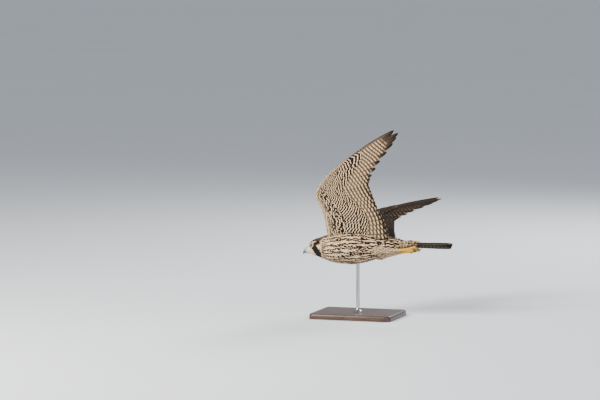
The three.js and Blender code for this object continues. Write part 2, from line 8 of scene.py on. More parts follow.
import bpy
import numpy as np
from mathutils import Matrix, Vector


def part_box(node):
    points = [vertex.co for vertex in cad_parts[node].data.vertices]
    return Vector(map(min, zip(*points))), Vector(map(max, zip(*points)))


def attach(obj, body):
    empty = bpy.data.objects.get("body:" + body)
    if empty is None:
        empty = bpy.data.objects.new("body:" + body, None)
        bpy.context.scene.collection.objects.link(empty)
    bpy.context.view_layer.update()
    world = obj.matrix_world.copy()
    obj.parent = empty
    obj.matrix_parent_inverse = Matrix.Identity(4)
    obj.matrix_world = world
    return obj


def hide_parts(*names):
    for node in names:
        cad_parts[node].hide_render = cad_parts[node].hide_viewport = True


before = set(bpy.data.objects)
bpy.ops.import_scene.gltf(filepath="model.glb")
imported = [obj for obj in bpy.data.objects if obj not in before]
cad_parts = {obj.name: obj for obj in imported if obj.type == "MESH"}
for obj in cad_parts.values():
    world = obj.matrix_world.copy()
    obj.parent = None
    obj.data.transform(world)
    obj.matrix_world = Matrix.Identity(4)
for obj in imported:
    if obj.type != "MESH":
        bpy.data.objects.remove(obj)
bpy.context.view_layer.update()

MM = 0.001
TAU = 2 * math.pi
rng = np.random.default_rng(11)

SIDES = {"left": -1, "right": 1}

# Attitude and head, as in the frame
BANK = 26.7
NOSE_DOWN = 2
DIHEDRAL = math.radians(47)
SHOULDER = (108, 28, 16)
HEAD_CENTRE = (40, -4)
HEAD_TILT = math.radians(15)
EYE = {"u": -8.7, "v": 2.2, "y": 14.6, "radius": 7.6, "forward": math.radians(24)}

# Body stations: x, ring centre z, tilt, half width, height above and below
TRUNK = np.array([
    [17.8, -10.0, 15, 9.5, 7.5, 12.5],
    [21.6, -8.9, 15, 13.0, 13.5, 15.5],
    [27.4, -7.4, 15, 17.0, 19.5, 20.5],
    [35.2, -5.3, 15, 20.5, 23.5, 25.5],
    [44.8, -2.7, 15, 23.0, 25.0, 32.5],
    [55.0, -0.8, 13, 25.0, 26.5, 38.5],
    [66.0, 0.0, 10, 28.5, 29.5, 43.0],
    [80.0, -0.8, 5, 35.0, 34.5, 45.0],
    [97.0, -2.0, 2, 42.0, 40.0, 47.0],
    [118.0, -3.0, 0, 48.0, 44.0, 48.0],
    [145.0, -3.5, 0, 50.5, 46.0, 49.0],
    [175.0, -3.0, 0, 48.0, 44.0, 47.0],
    [205.0, -2.0, 0, 42.0, 39.0, 41.5],
    [235.0, 0.0, 0, 34.0, 32.5, 34.0],
    [262.0, 2.0, 0, 27.0, 25.5, 26.5],
    [285.0, 3.0, 0, 21.5, 18.5, 19.5],
    [305.0, 3.5, 0, 18.0, 12.5, 13.5],
    [330.0, 3.8, 0, 15.0, 7.0, 8.0],
    [352.0, 4.0, 0, 12.0, 3.2, 3.6],
])

# Depth of the coat, and the spacing, length, half width and lift of its feathers, at x
COAT_X = [18, 26, 40, 58, 92, 150, 250, 300, 345]
COAT = {
    "depth": [0.7, 0.9, 1.3, 2.0, 2.8, 3.2, 3.0, 2.2, 1.2],
    "spacing": [1.3, 1.6, 2.1, 3.2, 5.2, 6.6, 6.8, 6.4, 6.0],
    "length": [3.4, 4.6, 7.0, 11, 19, 25, 28, 28, 30],
    "width": [1.1, 1.5, 2.1, 3.4, 5.6, 7.4, 6.6, 5.2, 5.2],
    "lift": [0.7, 0.9, 1.3, 2.0, 2.7, 3.0, 2.8, 2.4, 1.8],
}

# Columns of streaked feathers round the body, from this x on; ends of the coat's three pieces
COLUMNS = 40
COLUMNS_FROM = 64
COAT_ENDS = {"head": (18.2, 60), "front": (60, 172), "rear": (172, 334)}

# Wing stations [out, back]: leading edge, rear of the flesh, tips of the feathers; then thickness
ARM = {
    "lead": [[-20, -23], [24, -27], [60, -30], [95, -38], [122, -49], [141, -49]],
    "rear": [[-20, 64], [22, 68], [58, 70], [92, 52], [124, 22], [148, 2]],
    "trail": [[-20, 162], [26, 160], [66, 149], [104, 136], [136, 128], [168, 120]],
    "thick": [28, 25, 20, 17, 14, 12],
}
HAND = {
    "lead": [[137, -50], [170, -30], [200, 0], [227, 34], [244, 58]],
    "rear": [[143, -1], [163, 15], [182, 32], [208, 52], [233, 68]],
    "thick": [12.5, 11, 9, 6.5, 3],
}
AIRFOIL_CAMBER = 0.18
PRIMARY_ROOTS = [[156, -5], [222, 40]]
PRIMARY_TIPS = [
    [177, 123], [185, 127], [197, 133], [218, 147], [241, 163],
    [268, 186], [294, 208], [312, 220], [325.5, 227.5], [334, 215],
]
PRIMARIES = {"count": 10, "lead": 6.5, "trail": 15, "first_trail": 19, "up": 1.2, "sweep": 4, "sag": 5}
SECONDARIES = {
    "count": 14, "from": 0.3, "to": 5.0, "inset": 0.3, "lead": 9, "last_lead": 5, "trail": 12.5,
    "up": 2.2, "sweep": -2, "sag": 5,
}
ALULA = {"count": 4, "lead": 4, "trail": 6.5, "sag": 1, "arch": 1.5}
TILT = 0.13

# Tail feathers: x of roots and of the middle tips, height, step down and sideways, fan at the tip
RECTRICES = {
    "pairs": 6, "root": 308, "tip": 457, "shorter": 1.6, "up": 7.2, "step": 1.25, "offset": 2.4,
    "fan": 1.35, "lead": 9, "trail": 13,
}

# Legs: paths of [x, y, z, radius] for the right side
THIGH = [
    [212, 16, -17, 13], [228, 16.5, -19, 15], [250, 14.6, -19.4, 12.4], [275, 11.8, -19, 8.4],
    [293, 10.4, -18.4, 5],
]
TARSUS = [[287, 10.7, -18.7, 3.6], [300, 10.2, -17.6, 3.9], [312, 9.8, -16.4, 3.6], [322, 9.5, -15.2, 4.1]]
FOOT = (323.0, 9.5, -15.1)
HUB = [[0, 0, 0, 4.2], [4, 0, 0.4, 5.1], [9, 0, 1, 3.8]]
CLAW_BEND = 6.2
CLAW_TURN = math.radians(95)

# Toes: place across and further spread, length, radius, height
TOES = {
    "inner": (-4.4, -0.8, 23, 2.8, 0),
    "middle": (0, 0, 28, 3.1, 0),
    "outer": (5.5, 1.5, 24, 2.8, 0),
    "hind": (-2.5, -1, 15, 2.9, -6.5),
}


# Bird frame and row frame

def stacked(*values):
    """The values side by side in a new last axis."""
    return np.stack(np.broadcast_arrays(*values), -1)


def turned(a, b, angle):
    """A place in a plane, turned from the first axis towards the second."""
    cos, sin = math.cos(angle), math.sin(angle)
    return a * cos - b * sin, a * sin + b * cos


def head_point(u, y, v):
    """Bird frame point of head coordinates u back, y across and v up."""
    x, z = turned(np.asarray(u, float), v, HEAD_TILT)
    return stacked(HEAD_CENTRE[0] + x, y, HEAD_CENTRE[1] + z)


def head_place(p):
    """Head coordinates u and v of bird frame points."""
    return turned(p[..., 0] - HEAD_CENTRE[0], p[..., 2] - HEAD_CENTRE[1], -HEAD_TILT)


def eye_centre(side):
    return head_point(EYE["u"], side * EYE["y"], EYE["v"])


def eye_axis(side):
    cos, sin = math.cos(EYE["forward"]), math.sin(EYE["forward"])
    return np.array([-sin * math.cos(HEAD_TILT), side * cos, -sin * math.sin(HEAD_TILT)])


def box_middle(node):
    low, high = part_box(node)
    return np.array((low + high) / 2)


def attitude():
    """Rotation of the bird frame, and the row frame place of its origin, found from the eyes."""
    bank = Matrix.Rotation(math.radians(-BANK), 3, "X")
    nose = Matrix.Rotation(math.radians(-NOSE_DOWN), 3, "Y")
    turn = np.array(nose @ bank)
    origins = [box_middle("eye_" + label) - turn @ eye_centre(side) * MM for label, side in SIDES.items()]
    origin = np.mean(origins, 0)
    return turn, origin


TURN, ORIGIN = attitude()


def to_row(points):
    return np.asarray(points, float) @ TURN.T * MM + ORIGIN


def to_bird(points):
    return (np.asarray(points, float) - ORIGIN) @ TURN / MM


# Numbers

def unit(vectors):
    return vectors / np.maximum(np.linalg.norm(vectors, axis=-1, keepdims=True), 1e-9)


def step(low, high, value):
    """Smooth step from 0 at low to 1 at high, which may be the smaller."""
    t = np.clip((np.asarray(value, float) - low) / (high - low), 0, 1)
    return t * t * (3 - 2 * t)


def smooth_table(keys, values, x):
    """Smooth curve through a table of numbers or rows, with the slopes of the neighbours."""
    keys, values, x = (np.asarray(a, float) for a in (keys, values, x))
    if values.ndim == 2:
        return np.stack([smooth_table(keys, column, x) for column in values.T], -1)
    slope = np.empty_like(values)
    slope[1:-1] = (values[2:] - values[:-2]) / (keys[2:] - keys[:-2])
    slope[0] = (values[1] - values[0]) / (keys[1] - keys[0])
    slope[-1] = (values[-1] - values[-2]) / (keys[-1] - keys[-2])
    i = np.clip(np.searchsorted(keys, x, "right") - 1, 0, len(keys) - 2)
    span = keys[i + 1] - keys[i]
    t = np.clip((x - keys[i]) / span, 0, 1)
    bend = values[i] + (values[i + 1] - values[i]) * t * t * (3 - 2 * t)
    return bend + t * (1 - t) ** 2 * span * slope[i] + t * t * (t - 1) * span * slope[i + 1]


def body(x, column):
    return smooth_table(TRUNK[:, 0], TRUNK[:, column], x)


def coat(x, key):
    return np.interp(x, COAT_X, COAT[key])


# Surfaces

def trunk_point(x, theta, grow):
    """Point of the body at x, theta round from the top towards the right side."""
    x, theta, grow = np.broadcast_arrays(np.asarray(x, float), theta, grow)
    tilt = np.radians(body(x, 2))
    side, rise = np.sin(theta), np.cos(theta)
    height = np.where(rise > 0, body(x, 4), body(x, 5)) + grow
    v = height * np.sign(rise) * np.abs(rise) ** 0.92
    y = (body(x, 3) + grow) * np.sign(side) * np.abs(side) ** 0.92
    y = y + face_form(x, y, v) * np.sign(y)
    return stacked(x - v * np.sin(tilt), y, body(x, 1) + v * np.cos(tilt))


def face_form(x, y, v):
    """Brow over the eye, hollow of the lores and the cheek."""
    def near(value, centre, spread):
        return np.exp(-(((value - centre) / spread) ** 2))
    brow = 2.2 * near(x, 30, 9) * near(v, 10.5, 4)
    lores = -1.4 * near(x, 23, 4) * near(v, 2, 4)
    cheek = near(x, 42, 9) * near(v, -10, 8)
    return (brow + lores + cheek) * step(2, 6, np.abs(y))


def trunk_frame(x, theta, grow):
    """Point, tailward direction and outward direction on the body."""
    p = trunk_point(x, theta, grow)
    along = trunk_point(x + 0.4, theta, grow) - p
    round_ = trunk_point(x, theta + 0.01, grow) - p
    up = unit(np.cross(along, round_))
    return p, unit(along), up


def face_width(x, z):
    """Half width of the head at bird frame x and z."""
    ring = float(x)
    for _ in range(4):
        tilt = math.radians(float(body(ring, 2)))
        v = (z - float(body(ring, 1))) / math.cos(tilt)
        ring = x + v * math.sin(tilt)
    height = float(body(ring, 4 if v > 0 else 5))
    return float(body(ring, 3)) * max(0.0, 1 - abs(v / height) ** 2.174) ** 0.46


def wing_point(side, local):
    """Bird frame point of wing coordinates [out, back, up]."""
    y, z = turned(local[..., 0], local[..., 2], DIHEDRAL)
    return stacked(SHOULDER[0] + local[..., 1], side * (SHOULDER[1] + y), SHOULDER[2] + z)


def tail_point(side, local):
    return stacked(local[..., 1], side * local[..., 0], local[..., 2])


def planform(table, key, s):
    """Value of a wing table at a fractional station number."""
    return smooth_table(np.arange(len(table[key])), table[key], s)


def wing_surface(table, s, c, sign, sink=0.0):
    """Wing coordinates on the flesh: station s, chord share c, sign 1 above and -1 below."""
    s, c = np.broadcast_arrays(np.asarray(s, float), np.asarray(c, float))
    lead, rear = planform(table, "lead", s), planform(table, "rear", s)
    thick = planform(table, "thick", s)
    half = (thick / 2) * np.minimum(1, 1.9 * np.sqrt(c + 0.01)) * (1 - c**1.8) + 0.5 - sink
    camber = AIRFOIL_CAMBER * thick * 4 * c * (1 - c)
    flat = lead + (rear - lead) * c[..., None]
    return np.concatenate([flat, (camber + sign * np.maximum(half, 0.15))[..., None]], -1)


def wing_frame(side, table, s, c, sign, heading, sink):
    """Point, direction of the coat and outward direction on the flesh of a wing."""
    def point(s, c):
        return wing_point(side, wing_surface(table, s, c, sign, sink))

    def direction(local):
        return wing_point(side, local) - wing_point(side, np.zeros(3))
    p = point(s, c)
    up = unit(np.cross(point(s, c + 0.01) - p, point(s + 0.01, c) - p))
    up = up * np.sign((up @ direction(np.array([0.0, 0, 1]))) * sign)[..., None]
    along = direction(stacked(heading[..., 0], heading[..., 1], 0.0))
    along = along - up * np.sum(along * up, -1, keepdims=True)
    return p, unit(along), up


def limb_rings(path, sides):
    """Rings round a path of rows [x, y, z, radius]."""
    path = np.asarray(path, float)
    along = unit(np.gradient(path[:, :3], axis=0))
    across = unit(np.cross([0, 1, 0.001], along))
    up = np.cross(along, across)
    turn = TAU * (np.arange(sides) + 0.5) / sides
    spoke = across[:, None] * np.cos(turn)[:, None] + up[:, None] * np.sin(turn)[:, None]
    return path[:, None, :3] + path[:, 3][:, None, None] * spoke


def finer(path, count):
    """The same path with count rows on a smooth curve."""
    return smooth_table(np.arange(len(path)), path, np.linspace(0, len(path) - 1, count))


def mirrored(path, side):
    return np.asarray(path, float) * np.array([1, side, 1, 1])


# Meshes

def vane_ring(columns):
    """Across places and face signs round the section of a vane; columns run over its upper face."""
    top = np.asarray(columns, float)
    under = top[-2:0:-1]
    across = np.concatenate([top, under])
    face = np.concatenate([[0], np.ones(len(top) - 2), [0], -np.ones(len(under))])
    return across, face


def grid_faces(count, rows, ring):
    """Quads and end caps of count closed lofts of rows rings."""
    r = np.arange(rows - 1)[:, None] * ring
    j = np.arange(ring)
    k = (j + 1) % ring
    quads = stacked(r + j, r + ring + j, r + ring + k, r + k).reshape(-1, 4)
    caps = np.stack([np.arange(ring), (rows - 1) * ring + np.arange(ring)[::-1]])
    offset = np.arange(count) * rows * ring
    quads = (quads[None] + offset[:, None, None]).reshape(-1, 4)
    return quads, (caps[None] + offset[:, None, None]).reshape(-1, ring)


def outward(points, quads, caps):
    """The same faces, turned so that they point out."""
    middle = points.mean(0)

    def six_volumes(a, b, c):
        return np.sum((points[a] - middle) * np.cross(points[b] - middle, points[c] - middle))
    volume = six_volumes(*quads[:, [0, 1, 2]].T) + six_volumes(*quads[:, [0, 2, 3]].T)
    for i in range(1, caps.shape[1] - 1):
        volume += six_volumes(caps[:, 0], caps[:, i], caps[:, i + 1])
    return (quads, caps) if volume > 0 else (quads[:, ::-1], caps[:, ::-1])


def part(points, fields=None, maps=None):
    """Part of a piece from points [count, rows, ring, 3]; fields and maps follow its first axes."""
    points = np.asarray(points, float)
    if points.ndim == 3:
        points = points[None]
    count, rows, ring, _ = points.shape
    flat = points.reshape(-1, 3)
    quads, caps = outward(flat, *grid_faces(count, rows, ring))

    def spread(table, *more):
        table = {key: np.broadcast_to(value, (count, rows, ring, *more)) for key, value in table.items()}
        return {key: value.reshape(-1, *more) for key, value in table.items()}
    faces = [*quads.tolist(), *caps.tolist()]
    return {"points": flat, "faces": faces, "fields": spread(fields or {}), "maps": spread(maps or {}, 2)}


def each(values):
    """Values of the feathers of a part, as its first axis."""
    return np.asarray(values, float)[:, None, None]


def merged(name, parts):
    """One mesh in the row frame from parts in the bird frame."""
    points, faces, start = [], [], 0
    for item in parts:
        faces += [[index + start for index in face] for face in item["faces"]]
        points.append(item["points"])
        start += len(item["points"])
    mesh = bpy.data.meshes.new(name)
    mesh.from_pydata(to_row(np.concatenate(points)).tolist(), [], faces)
    return mesh


def piece(name, parts, material, replaces=(), sharp=50):
    """One piece that rides on the model; its parts all have the same maps and fields."""
    mesh = merged(name, parts)
    mesh.shade_smooth()
    mesh.set_sharp_from_angle(angle=math.radians(sharp))
    corner = np.empty(len(mesh.loops), int)
    mesh.loops.foreach_get("vertex_index", corner)
    for key in sorted(parts[0]["maps"]):
        values = np.concatenate([item["maps"][key] for item in parts])
        layer = mesh.uv_layers.new(name=key)
        layer.data.foreach_set("uv", values[corner].astype(np.float32).ravel())
    for key in sorted(parts[0]["fields"]):
        set_field(mesh, key, np.concatenate([item["fields"][key] for item in parts]))
    ride(name, mesh, material, replaces)


def set_field(mesh, key, values):
    attribute = mesh.attributes.new(key, "FLOAT", "POINT")
    attribute.data.foreach_set("value", np.asarray(values, np.float32))


def linked(name, data):
    """A new object in the scene."""
    made = bpy.data.objects.new(name, data)
    bpy.context.scene.collection.objects.link(made)
    return made


def ride(name, mesh, material, replaces=()):
    mesh.materials.clear()
    mesh.materials.append(material)
    made = linked(name, mesh)
    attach(made, "root")
    if replaces:
        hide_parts(*replaces)


def fused(name, parts, voxel, passes):
    """One smooth closed mesh round all the parts, by voxels of that size in millimetres."""
    rough = linked(name + "_rough", merged(name, parts))
    remesh = rough.modifiers.new("voxels", "REMESH")
    remesh.mode = "VOXEL"
    remesh.voxel_size = voxel * MM
    soft = rough.modifiers.new("soft", "SMOOTH")
    soft.factor = 0.5
    soft.iterations = passes
    done = rough.evaluated_get(bpy.context.evaluated_depsgraph_get())
    result = bpy.data.meshes.new_from_object(done)
    bpy.data.objects.remove(rough)
    result.name = name
    result.shade_smooth()
    return result


def bird_vertices(mesh):
    flat = np.empty(len(mesh.vertices) * 3, np.float32)
    mesh.vertices.foreach_get("co", flat)
    return to_bird(flat.reshape(-1, 3))


# Materials

def tone(red, green, blue):
    """Linear colour of an sRGB one in 0 to 255."""
    return (*[((value / 255 + 0.055) / 1.055) ** 2.4 for value in (red, green, blue)], 1)


CREAM = tone(236, 210, 174)
BUFF = tone(205, 158, 110)
BROWN = tone(38, 26, 18)
UMBER = tone(20, 15, 12)
INK = tone(27, 26, 26)
SLATE = tone(88, 72, 57)


class Field:
    """A value in a material's node tree, which the usual signs work on."""

    def __init__(self, graph, socket):
        self.graph = graph
        self.socket = socket

    def math(self, operation, other=0.0):
        return self.graph.node("Math", {0: self, 1: other}, operation=operation)

    __add__ = partialmethod(math, "ADD")
    __sub__ = partialmethod(math, "SUBTRACT")
    __mul__ = partialmethod(math, "MULTIPLY")
    less = partialmethod(math, "MINIMUM")
    more = partialmethod(math, "MAXIMUM")
    size = partialmethod(math, "ABSOLUTE")

    def wave(self, rate):
        """Sine that turns rate times as the value goes from 0 to 1."""
        return (self * (rate * TAU)).math("SINE")

    def rest(self):
        """What is missing to 1."""
        return self.graph.node("Math", {0: 1.0, 1: self}, operation="SUBTRACT", use_clamp=True)


class Graph:
    """A material round the Principled shader, with short calls for its nodes."""

    def __init__(self, name, sockets):
        self.material = bpy.data.materials.new(name)
        self.material.use_nodes = True
        self.tree = self.material.node_tree
        self.shader = self.tree.nodes["Principled BSDF"]
        for key, value in sockets.items():
            self.feed(self.shader.inputs[key], value)

    def feed(self, socket, value):
        if isinstance(value, Field):
            self.tree.links.new(value.socket, socket)
        else:
            socket.default_value = value

    def node(self, kind, inputs, output=0, **settings):
        node = self.tree.nodes.new("ShaderNode" + kind)
        for key, value in settings.items():
            setattr(node, key, value)
        for key, value in inputs.items():
            self.feed(node.inputs[key], value)
        return Field(self, node.outputs[output])

    def field(self, name):
        return self.node("Attribute", {}, output=2, attribute_name=name)

    def vane(self):
        """Across, from -1 to 1 with 1 on the leading side, and along, from 0 to 1."""
        place = self.node("UVMap", {}, uv_map="Vane")
        across = self.node("SeparateXYZ", {"Vector": place}, output=0)
        along = self.node("SeparateXYZ", {"Vector": place}, output=1)
        return across * 2.0 - 1.0, along

    def noise(self, scale, detail=3.0, stretch=(1, 1, 1)):
        place = self.node("TexCoord", {}, output=3)
        place = self.node("Mapping", {"Vector": place, "Scale": stretch})
        return self.node("TexNoise", {"Vector": place, "Scale": scale, "Detail": detail})

    def cells(self, scale):
        """Distance to the edge of the nearest cell."""
        place = self.node("TexCoord", {}, output=3)
        return self.node("TexVoronoi", {"Vector": place, "Scale": scale}, feature="DISTANCE_TO_EDGE")

    def step(self, low, high, value):
        inputs = {"Value": value, "From Min": low, "From Max": high}
        return self.node("MapRange", inputs, interpolation_type="SMOOTHSTEP")

    def mix(self, share, first, second):
        return self.node("Mix", {0: share, 6: first, 7: second}, output=2, data_type="RGBA")

    def finish(self, colour, height=None, strength=0.3, distance=0.0003):
        self.feed(self.shader.inputs["Base Color"], colour)
        if height is not None:
            inputs = {"Height": height, "Strength": strength, "Distance": distance}
            self.feed(self.shader.inputs["Normal"], self.node("Bump", inputs))
        return self.material


def plumage():
    """Body feathers: cream with streaks or bars, or dark with pale fringes, as their fields say."""
    g = Graph("plumage", {"Roughness": 0.65, "Specular IOR Level": 0.06, "Sheen Weight": 0.03})
    across, along = g.vane()
    edge = across.size()
    grain = g.noise(260.0)
    wash = g.noise(38.0)
    streak, bars, fringe = g.field("streak"), g.field("bars"), g.field("fringe")
    width = (along * 0.4 + 0.3) * streak
    streaks = g.step(0.0, 0.1, width - edge + (grain - 0.5) * 0.25) * g.step(0.02, 0.15, streak)
    chevrons = (along + edge * 0.08) * g.field("rate") + g.field("tone") * 0.5 + 0.5
    bands = g.step(-0.72, -0.42, chevrons.wave(1.0)) * bars
    rim = (edge * 0.98).more(along * 1.02)
    fringes = fringe * g.step(0.86, 0.96, rim + (grain - 0.5) * 0.1)
    marks = (g.field("dark") * fringes.rest() + streaks + bands).less(1.0)
    pale = g.mix(g.field("tone") * 0.4 + (wash - 0.35) * 0.6 + g.field("dark") * 0.35, CREAM, BUFF)
    deep = g.mix(g.field("dark") - 1.0, g.mix(g.field("tone"), BROWN, UMBER), INK)
    barbs = (along + edge * 0.16).wave(34.0)
    colour = g.mix(marks, pale, deep)
    colour = g.mix(g.step(0.0, 1.0, barbs) * 0.1, colour, UMBER)
    return g.finish(colour, barbs * 0.3 + grain, 0.25)


def quill():
    """Flight feathers: brown above, grey below with rows of cream bars on the inner vane."""
    g = Graph("quill", {"Roughness": 0.55, "Specular IOR Level": 0.04, "Sheen Weight": 0.02})
    across, along = g.vane()
    below = g.field("below")
    grain = g.noise(240.0)
    place = along * g.field("reach")
    inner = (across + 0.5) * 1.9
    oval = (place + across * 0.3).wave(1.0) - inner * inner * 0.5 + (grain - 0.5) * 0.5
    end = g.field("barred")
    spots = g.step(0.0, 0.5, oval) * g.step(-0.02, -0.12, across) * g.step(0.06, -0.06, along - end)
    notches = g.step(0.2, 0.7, (place + 0.15).wave(1.0))
    outer = notches * g.step(0.25, 0.4, across) * g.step(0.6, 0.4, along)
    strength = (below * 0.68 + 0.08) * g.field("bars")
    rim = (g.step(0.975, 0.995, along) + g.step(-0.93, -0.99, across) * 0.8) * (below * 0.7).rest()
    tip = g.step(0.0, 0.006, along - 1.0 + g.field("tip"))
    above = g.mix(g.field("tone"), tone(48, 36, 28), tone(30, 24, 20))
    under = g.mix(g.step(0.6, 1.0, along).more(g.field("shade")), SLATE, tone(26, 21, 17))
    ground = g.mix(below, above, under)
    colour = g.mix(((spots + outer * 0.3) * strength).less(1.0), ground, g.mix(grain, CREAM, BUFF))
    colour = g.mix((rim.less(1.0) * 0.45 + tip * 0.8).less(1.0), colour, tone(196, 164, 128))
    shaft = g.step(0.06, 0.03, across.size()) * g.step(1.0, 0.9, along)
    colour = g.mix(shaft * 0.6, colour, g.mix(below, UMBER, tone(150, 128, 100)))
    barbs = (along + across.size() * 0.09).wave(90.0)
    colour = g.mix(g.step(0.0, 1.0, barbs) * 0.1, colour, UMBER)
    return g.finish(colour, barbs * 0.3 + grain * 0.6, 0.25)


def horn():
    """Bill: pale blue grey, black at the tip, under a waxy cere."""
    g = Graph("horn", {"Roughness": 0.32, "Coat Weight": 0.15})
    grain = g.noise(500.0, stretch=(1, 3, 3))
    dark = g.step(0.2, 0.9, g.field("tipward") + (grain - 0.5) * 0.25)
    shell = g.mix(dark, tone(160, 164, 158), tone(26, 27, 30))
    wax = g.mix(grain, tone(190, 188, 146), tone(206, 194, 128))
    return g.finish(g.mix(g.field("cere"), shell, wax), grain, 0.12)


def wet_eye():
    g = Graph("eye", {"Roughness": 0.04, "Coat Weight": 1.0, "Coat Roughness": 0.02})
    flecks = g.noise(2600.0)
    iris = g.mix(flecks, tone(58, 34, 20), tone(32, 18, 12))
    off = g.field("off")
    colour = g.mix(g.step(0.5, 0.46, off), iris, tone(4, 4, 5))
    return g.finish(g.mix(g.step(0.8, 0.9, off), colour, tone(14, 10, 9)))


def bare_skin(name, first, second, scale):
    """Skin with small scales, such as feet, eye rings and the corner of the mouth."""
    g = Graph(name, {"Roughness": 0.5, "Specular IOR Level": 0.4})
    scales = g.step(0.0, 0.25, g.cells(scale))
    wash = g.noise(90.0)
    colour = g.mix(wash, first, second)
    colour = g.mix(scales.rest() * 0.45, colour, tone(120, 84, 30))
    return g.finish(colour, scales, 0.5, 0.0004)


def claw_horn():
    g = Graph("claw_horn", {"Roughness": 0.28, "Coat Weight": 0.2})
    grain = g.noise(420.0, stretch=(4, 1, 1))
    return g.finish(g.mix(grain, tone(18, 17, 17), tone(50, 46, 42)), grain, 0.15)


def stained_wood():
    g = Graph("stained_wood", {"Roughness": 0.42, "Coat Weight": 0.25, "Coat Roughness": 0.2})
    warp = g.noise(6.0, 2.0)
    grain = g.noise(24.0, 6.0, stretch=(1.2, 16, 16))
    rings = (grain + warp * 0.8).wave(3.0)
    pores = g.noise(320.0, 2.0, stretch=(1, 14, 14))
    colour = g.mix(g.step(-1.0, 1.0, rings), tone(52, 34, 23), tone(82, 55, 36))
    colour = g.mix(g.step(0.58, 0.7, pores) * 0.6, colour, tone(24, 16, 12))
    return g.finish(colour, pores, 0.15, 0.0002)


def brushed_steel():
    g = Graph("brushed_steel", {"Metallic": 1.0, "Roughness": 0.3})
    lines = g.noise(900.0, 2.0, stretch=(1, 1, 30))
    colour = g.mix(lines, tone(150, 152, 154), tone(186, 188, 190))
    return g.finish(colour, lines, 0.08, 0.0001)


# Markings, as fields over the bird

# Strokes in head coordinates: start, end, and radius at both
BROW = ((-16, 9.5), (1, 9.5), (1.0, 1.5))
EYE_LINE = ((-2, 2), (13, 2), (4.5, 6.0))
MOUSTACHE = ((-4.5, -5), (9, -34), (7.2, 8.6))
LORES = ((-20, 4), (-15, 4), (1.2, 1.6))

# Where the markings of the head give way to those of the body, and values at x
BODY_FROM = (52, 66)
BACK_LIMIT = ([55, 80, 100, 230, 300], [1.15, 1.05, 0.85, 0.9, 1.45])
STREAKS = ([48, 60, 70, 120, 250, 320], [0.0, 0.4, 0.95, 1.15, 0.95, 0.5])
TAIL_BARS = ([225, 270, 300], [0.0, 0.25, 0.8])
FRINGES = ([15, 40, 60, 110, 350], [0.2, 0.3, 0.5, 0.75, 0.7])


def stroke(u, v, start, end, radius, soft=1.5):
    """1 within a tapering stroke from start to end, 0 outside; radius is given at both ends."""
    span = np.subtract(end, start)
    t = np.clip(((u - start[0]) * span[0] + (v - start[1]) * span[1]) / (span @ span), 0, 1)
    gap = np.hypot(u - start[0] - span[0] * t, v - start[1] - span[1] * t)
    edge = radius[0] + (radius[1] - radius[0]) * t
    return step(edge + soft, edge - soft, gap)


def markings(p):
    """Fields of the coat at bird frame points; dark goes from 0 to 1 in brown and on to 2 in black."""
    x = p[..., 0]
    theta = np.arctan2(np.abs(p[..., 1]), p[..., 2] - body(x, 1))
    u, v = head_place(p)
    wobble = 1.2 * np.sin(u * 0.9 + 2.0) * np.sin(v * 0.8)
    brow = 0.85 * stroke(u, v, *BROW, 0.8)
    crown = step(8.0, 11.0, v + wobble) * step(-20, -16, u) * (1 - brow)
    line = stroke(u, v, *EYE_LINE)
    nape = step(3, 9, u) * step(-1, 4, v + wobble)
    moustache = stroke(u, v, *MOUSTACHE)
    lores = 0.5 * stroke(u, v, *LORES, 0.8)
    head = np.maximum.reduce([crown, line, nape, moustache, lores])
    limit = np.interp(x, *BACK_LIMIT)
    back = step(limit + 0.12, limit - 0.12, theta + 0.05 * np.sin(x * 0.3))
    behind = step(*BODY_FROM, x)
    dark = head * (1 - behind) + back * behind
    ink = np.maximum(line * 0.5, moustache) * (1 - behind)
    chin = step(50, 30, x) * step(1.9, 2.3, theta)
    return {
        "dark": dark + ink,
        "streak": np.interp(x, *STREAKS) * (1 - 0.8 * chin) * (1 - dark),
        "bars": np.interp(x, *TAIL_BARS) * (1 - dark),
        "fringe": np.interp(x, *FRINGES) * dark * (1 - ink),
    }


# Small feathers

LEAF_ROWS = np.array([0, 0.25, 0.5, 0.72, 0.88, 0.97])
LEAF_SHARE = np.array([0.4, 0.8, 1.0, 0.93, 0.66, 0.24])
LEAF_THICK = 0.3
LEAF_CAMBER = 0.2
PATCH = 0.003

# Bars on a feather, as turns of their wave
RATES = {"body": 3.2, "thigh": 2.0, "small": 1.6, "junction": 4.4}


def across_and_along(across, t):
    """The Vane map of a feather, both from 0 to 1."""
    return stacked((across + 1) / 2, t)


def small_feathers(points, vane_map, place, fields):
    """Part of feathers that each have a patch of the unwrap and a tone of their own."""
    values = {key: each(np.clip(value, 0, 9)) for key, value in fields.items()}
    values["tone"] = each(rng.uniform(0, 1, len(points)))
    bake = each(place) + PATCH * (vane_map - 0.5)[None]
    return part(points, values, {"Vane": vane_map[None], "OFBake": bake})


def leaves(root, along, up, length, width, lift, place, fields, columns=3, turn=0.1):
    """Closed leaves that rise from their roots and lie along the coat."""
    count = len(root)
    yaw = rng.normal(0, turn, count)[:, None]
    length = length * rng.uniform(0.88, 1.12, count)
    width = width * rng.uniform(0.9, 1.1, count)
    lift = lift * rng.uniform(0.75, 1.2, count)
    side = np.cross(up, along)
    ahead = along * np.cos(yaw) + side * np.sin(yaw)
    side = side * np.cos(yaw) - along * np.sin(yaw)
    across, face = vane_ring(np.linspace(-1, 1, columns))
    t, share = LEAF_ROWS[:, None], LEAF_SHARE[:, None]
    rise = 1 - (1 - t) ** 2
    hollow = -LEAF_CAMBER * share * across**2
    points = (
        each(root)
        + each(ahead) * (t * np.ones_like(across))[None, :, :, None] * each(length)[..., None]
        + each(side) * (share * across)[None, :, :, None] * each(width)[..., None]
        + each(up) * (
            rise[None] * each(lift) + hollow[None] * each(width)
            + face * LEAF_THICK * (1 - 0.6 * t) - LEAF_THICK
        )[..., None]
    )
    return small_feathers(points, across_and_along(across, t), place, fields)


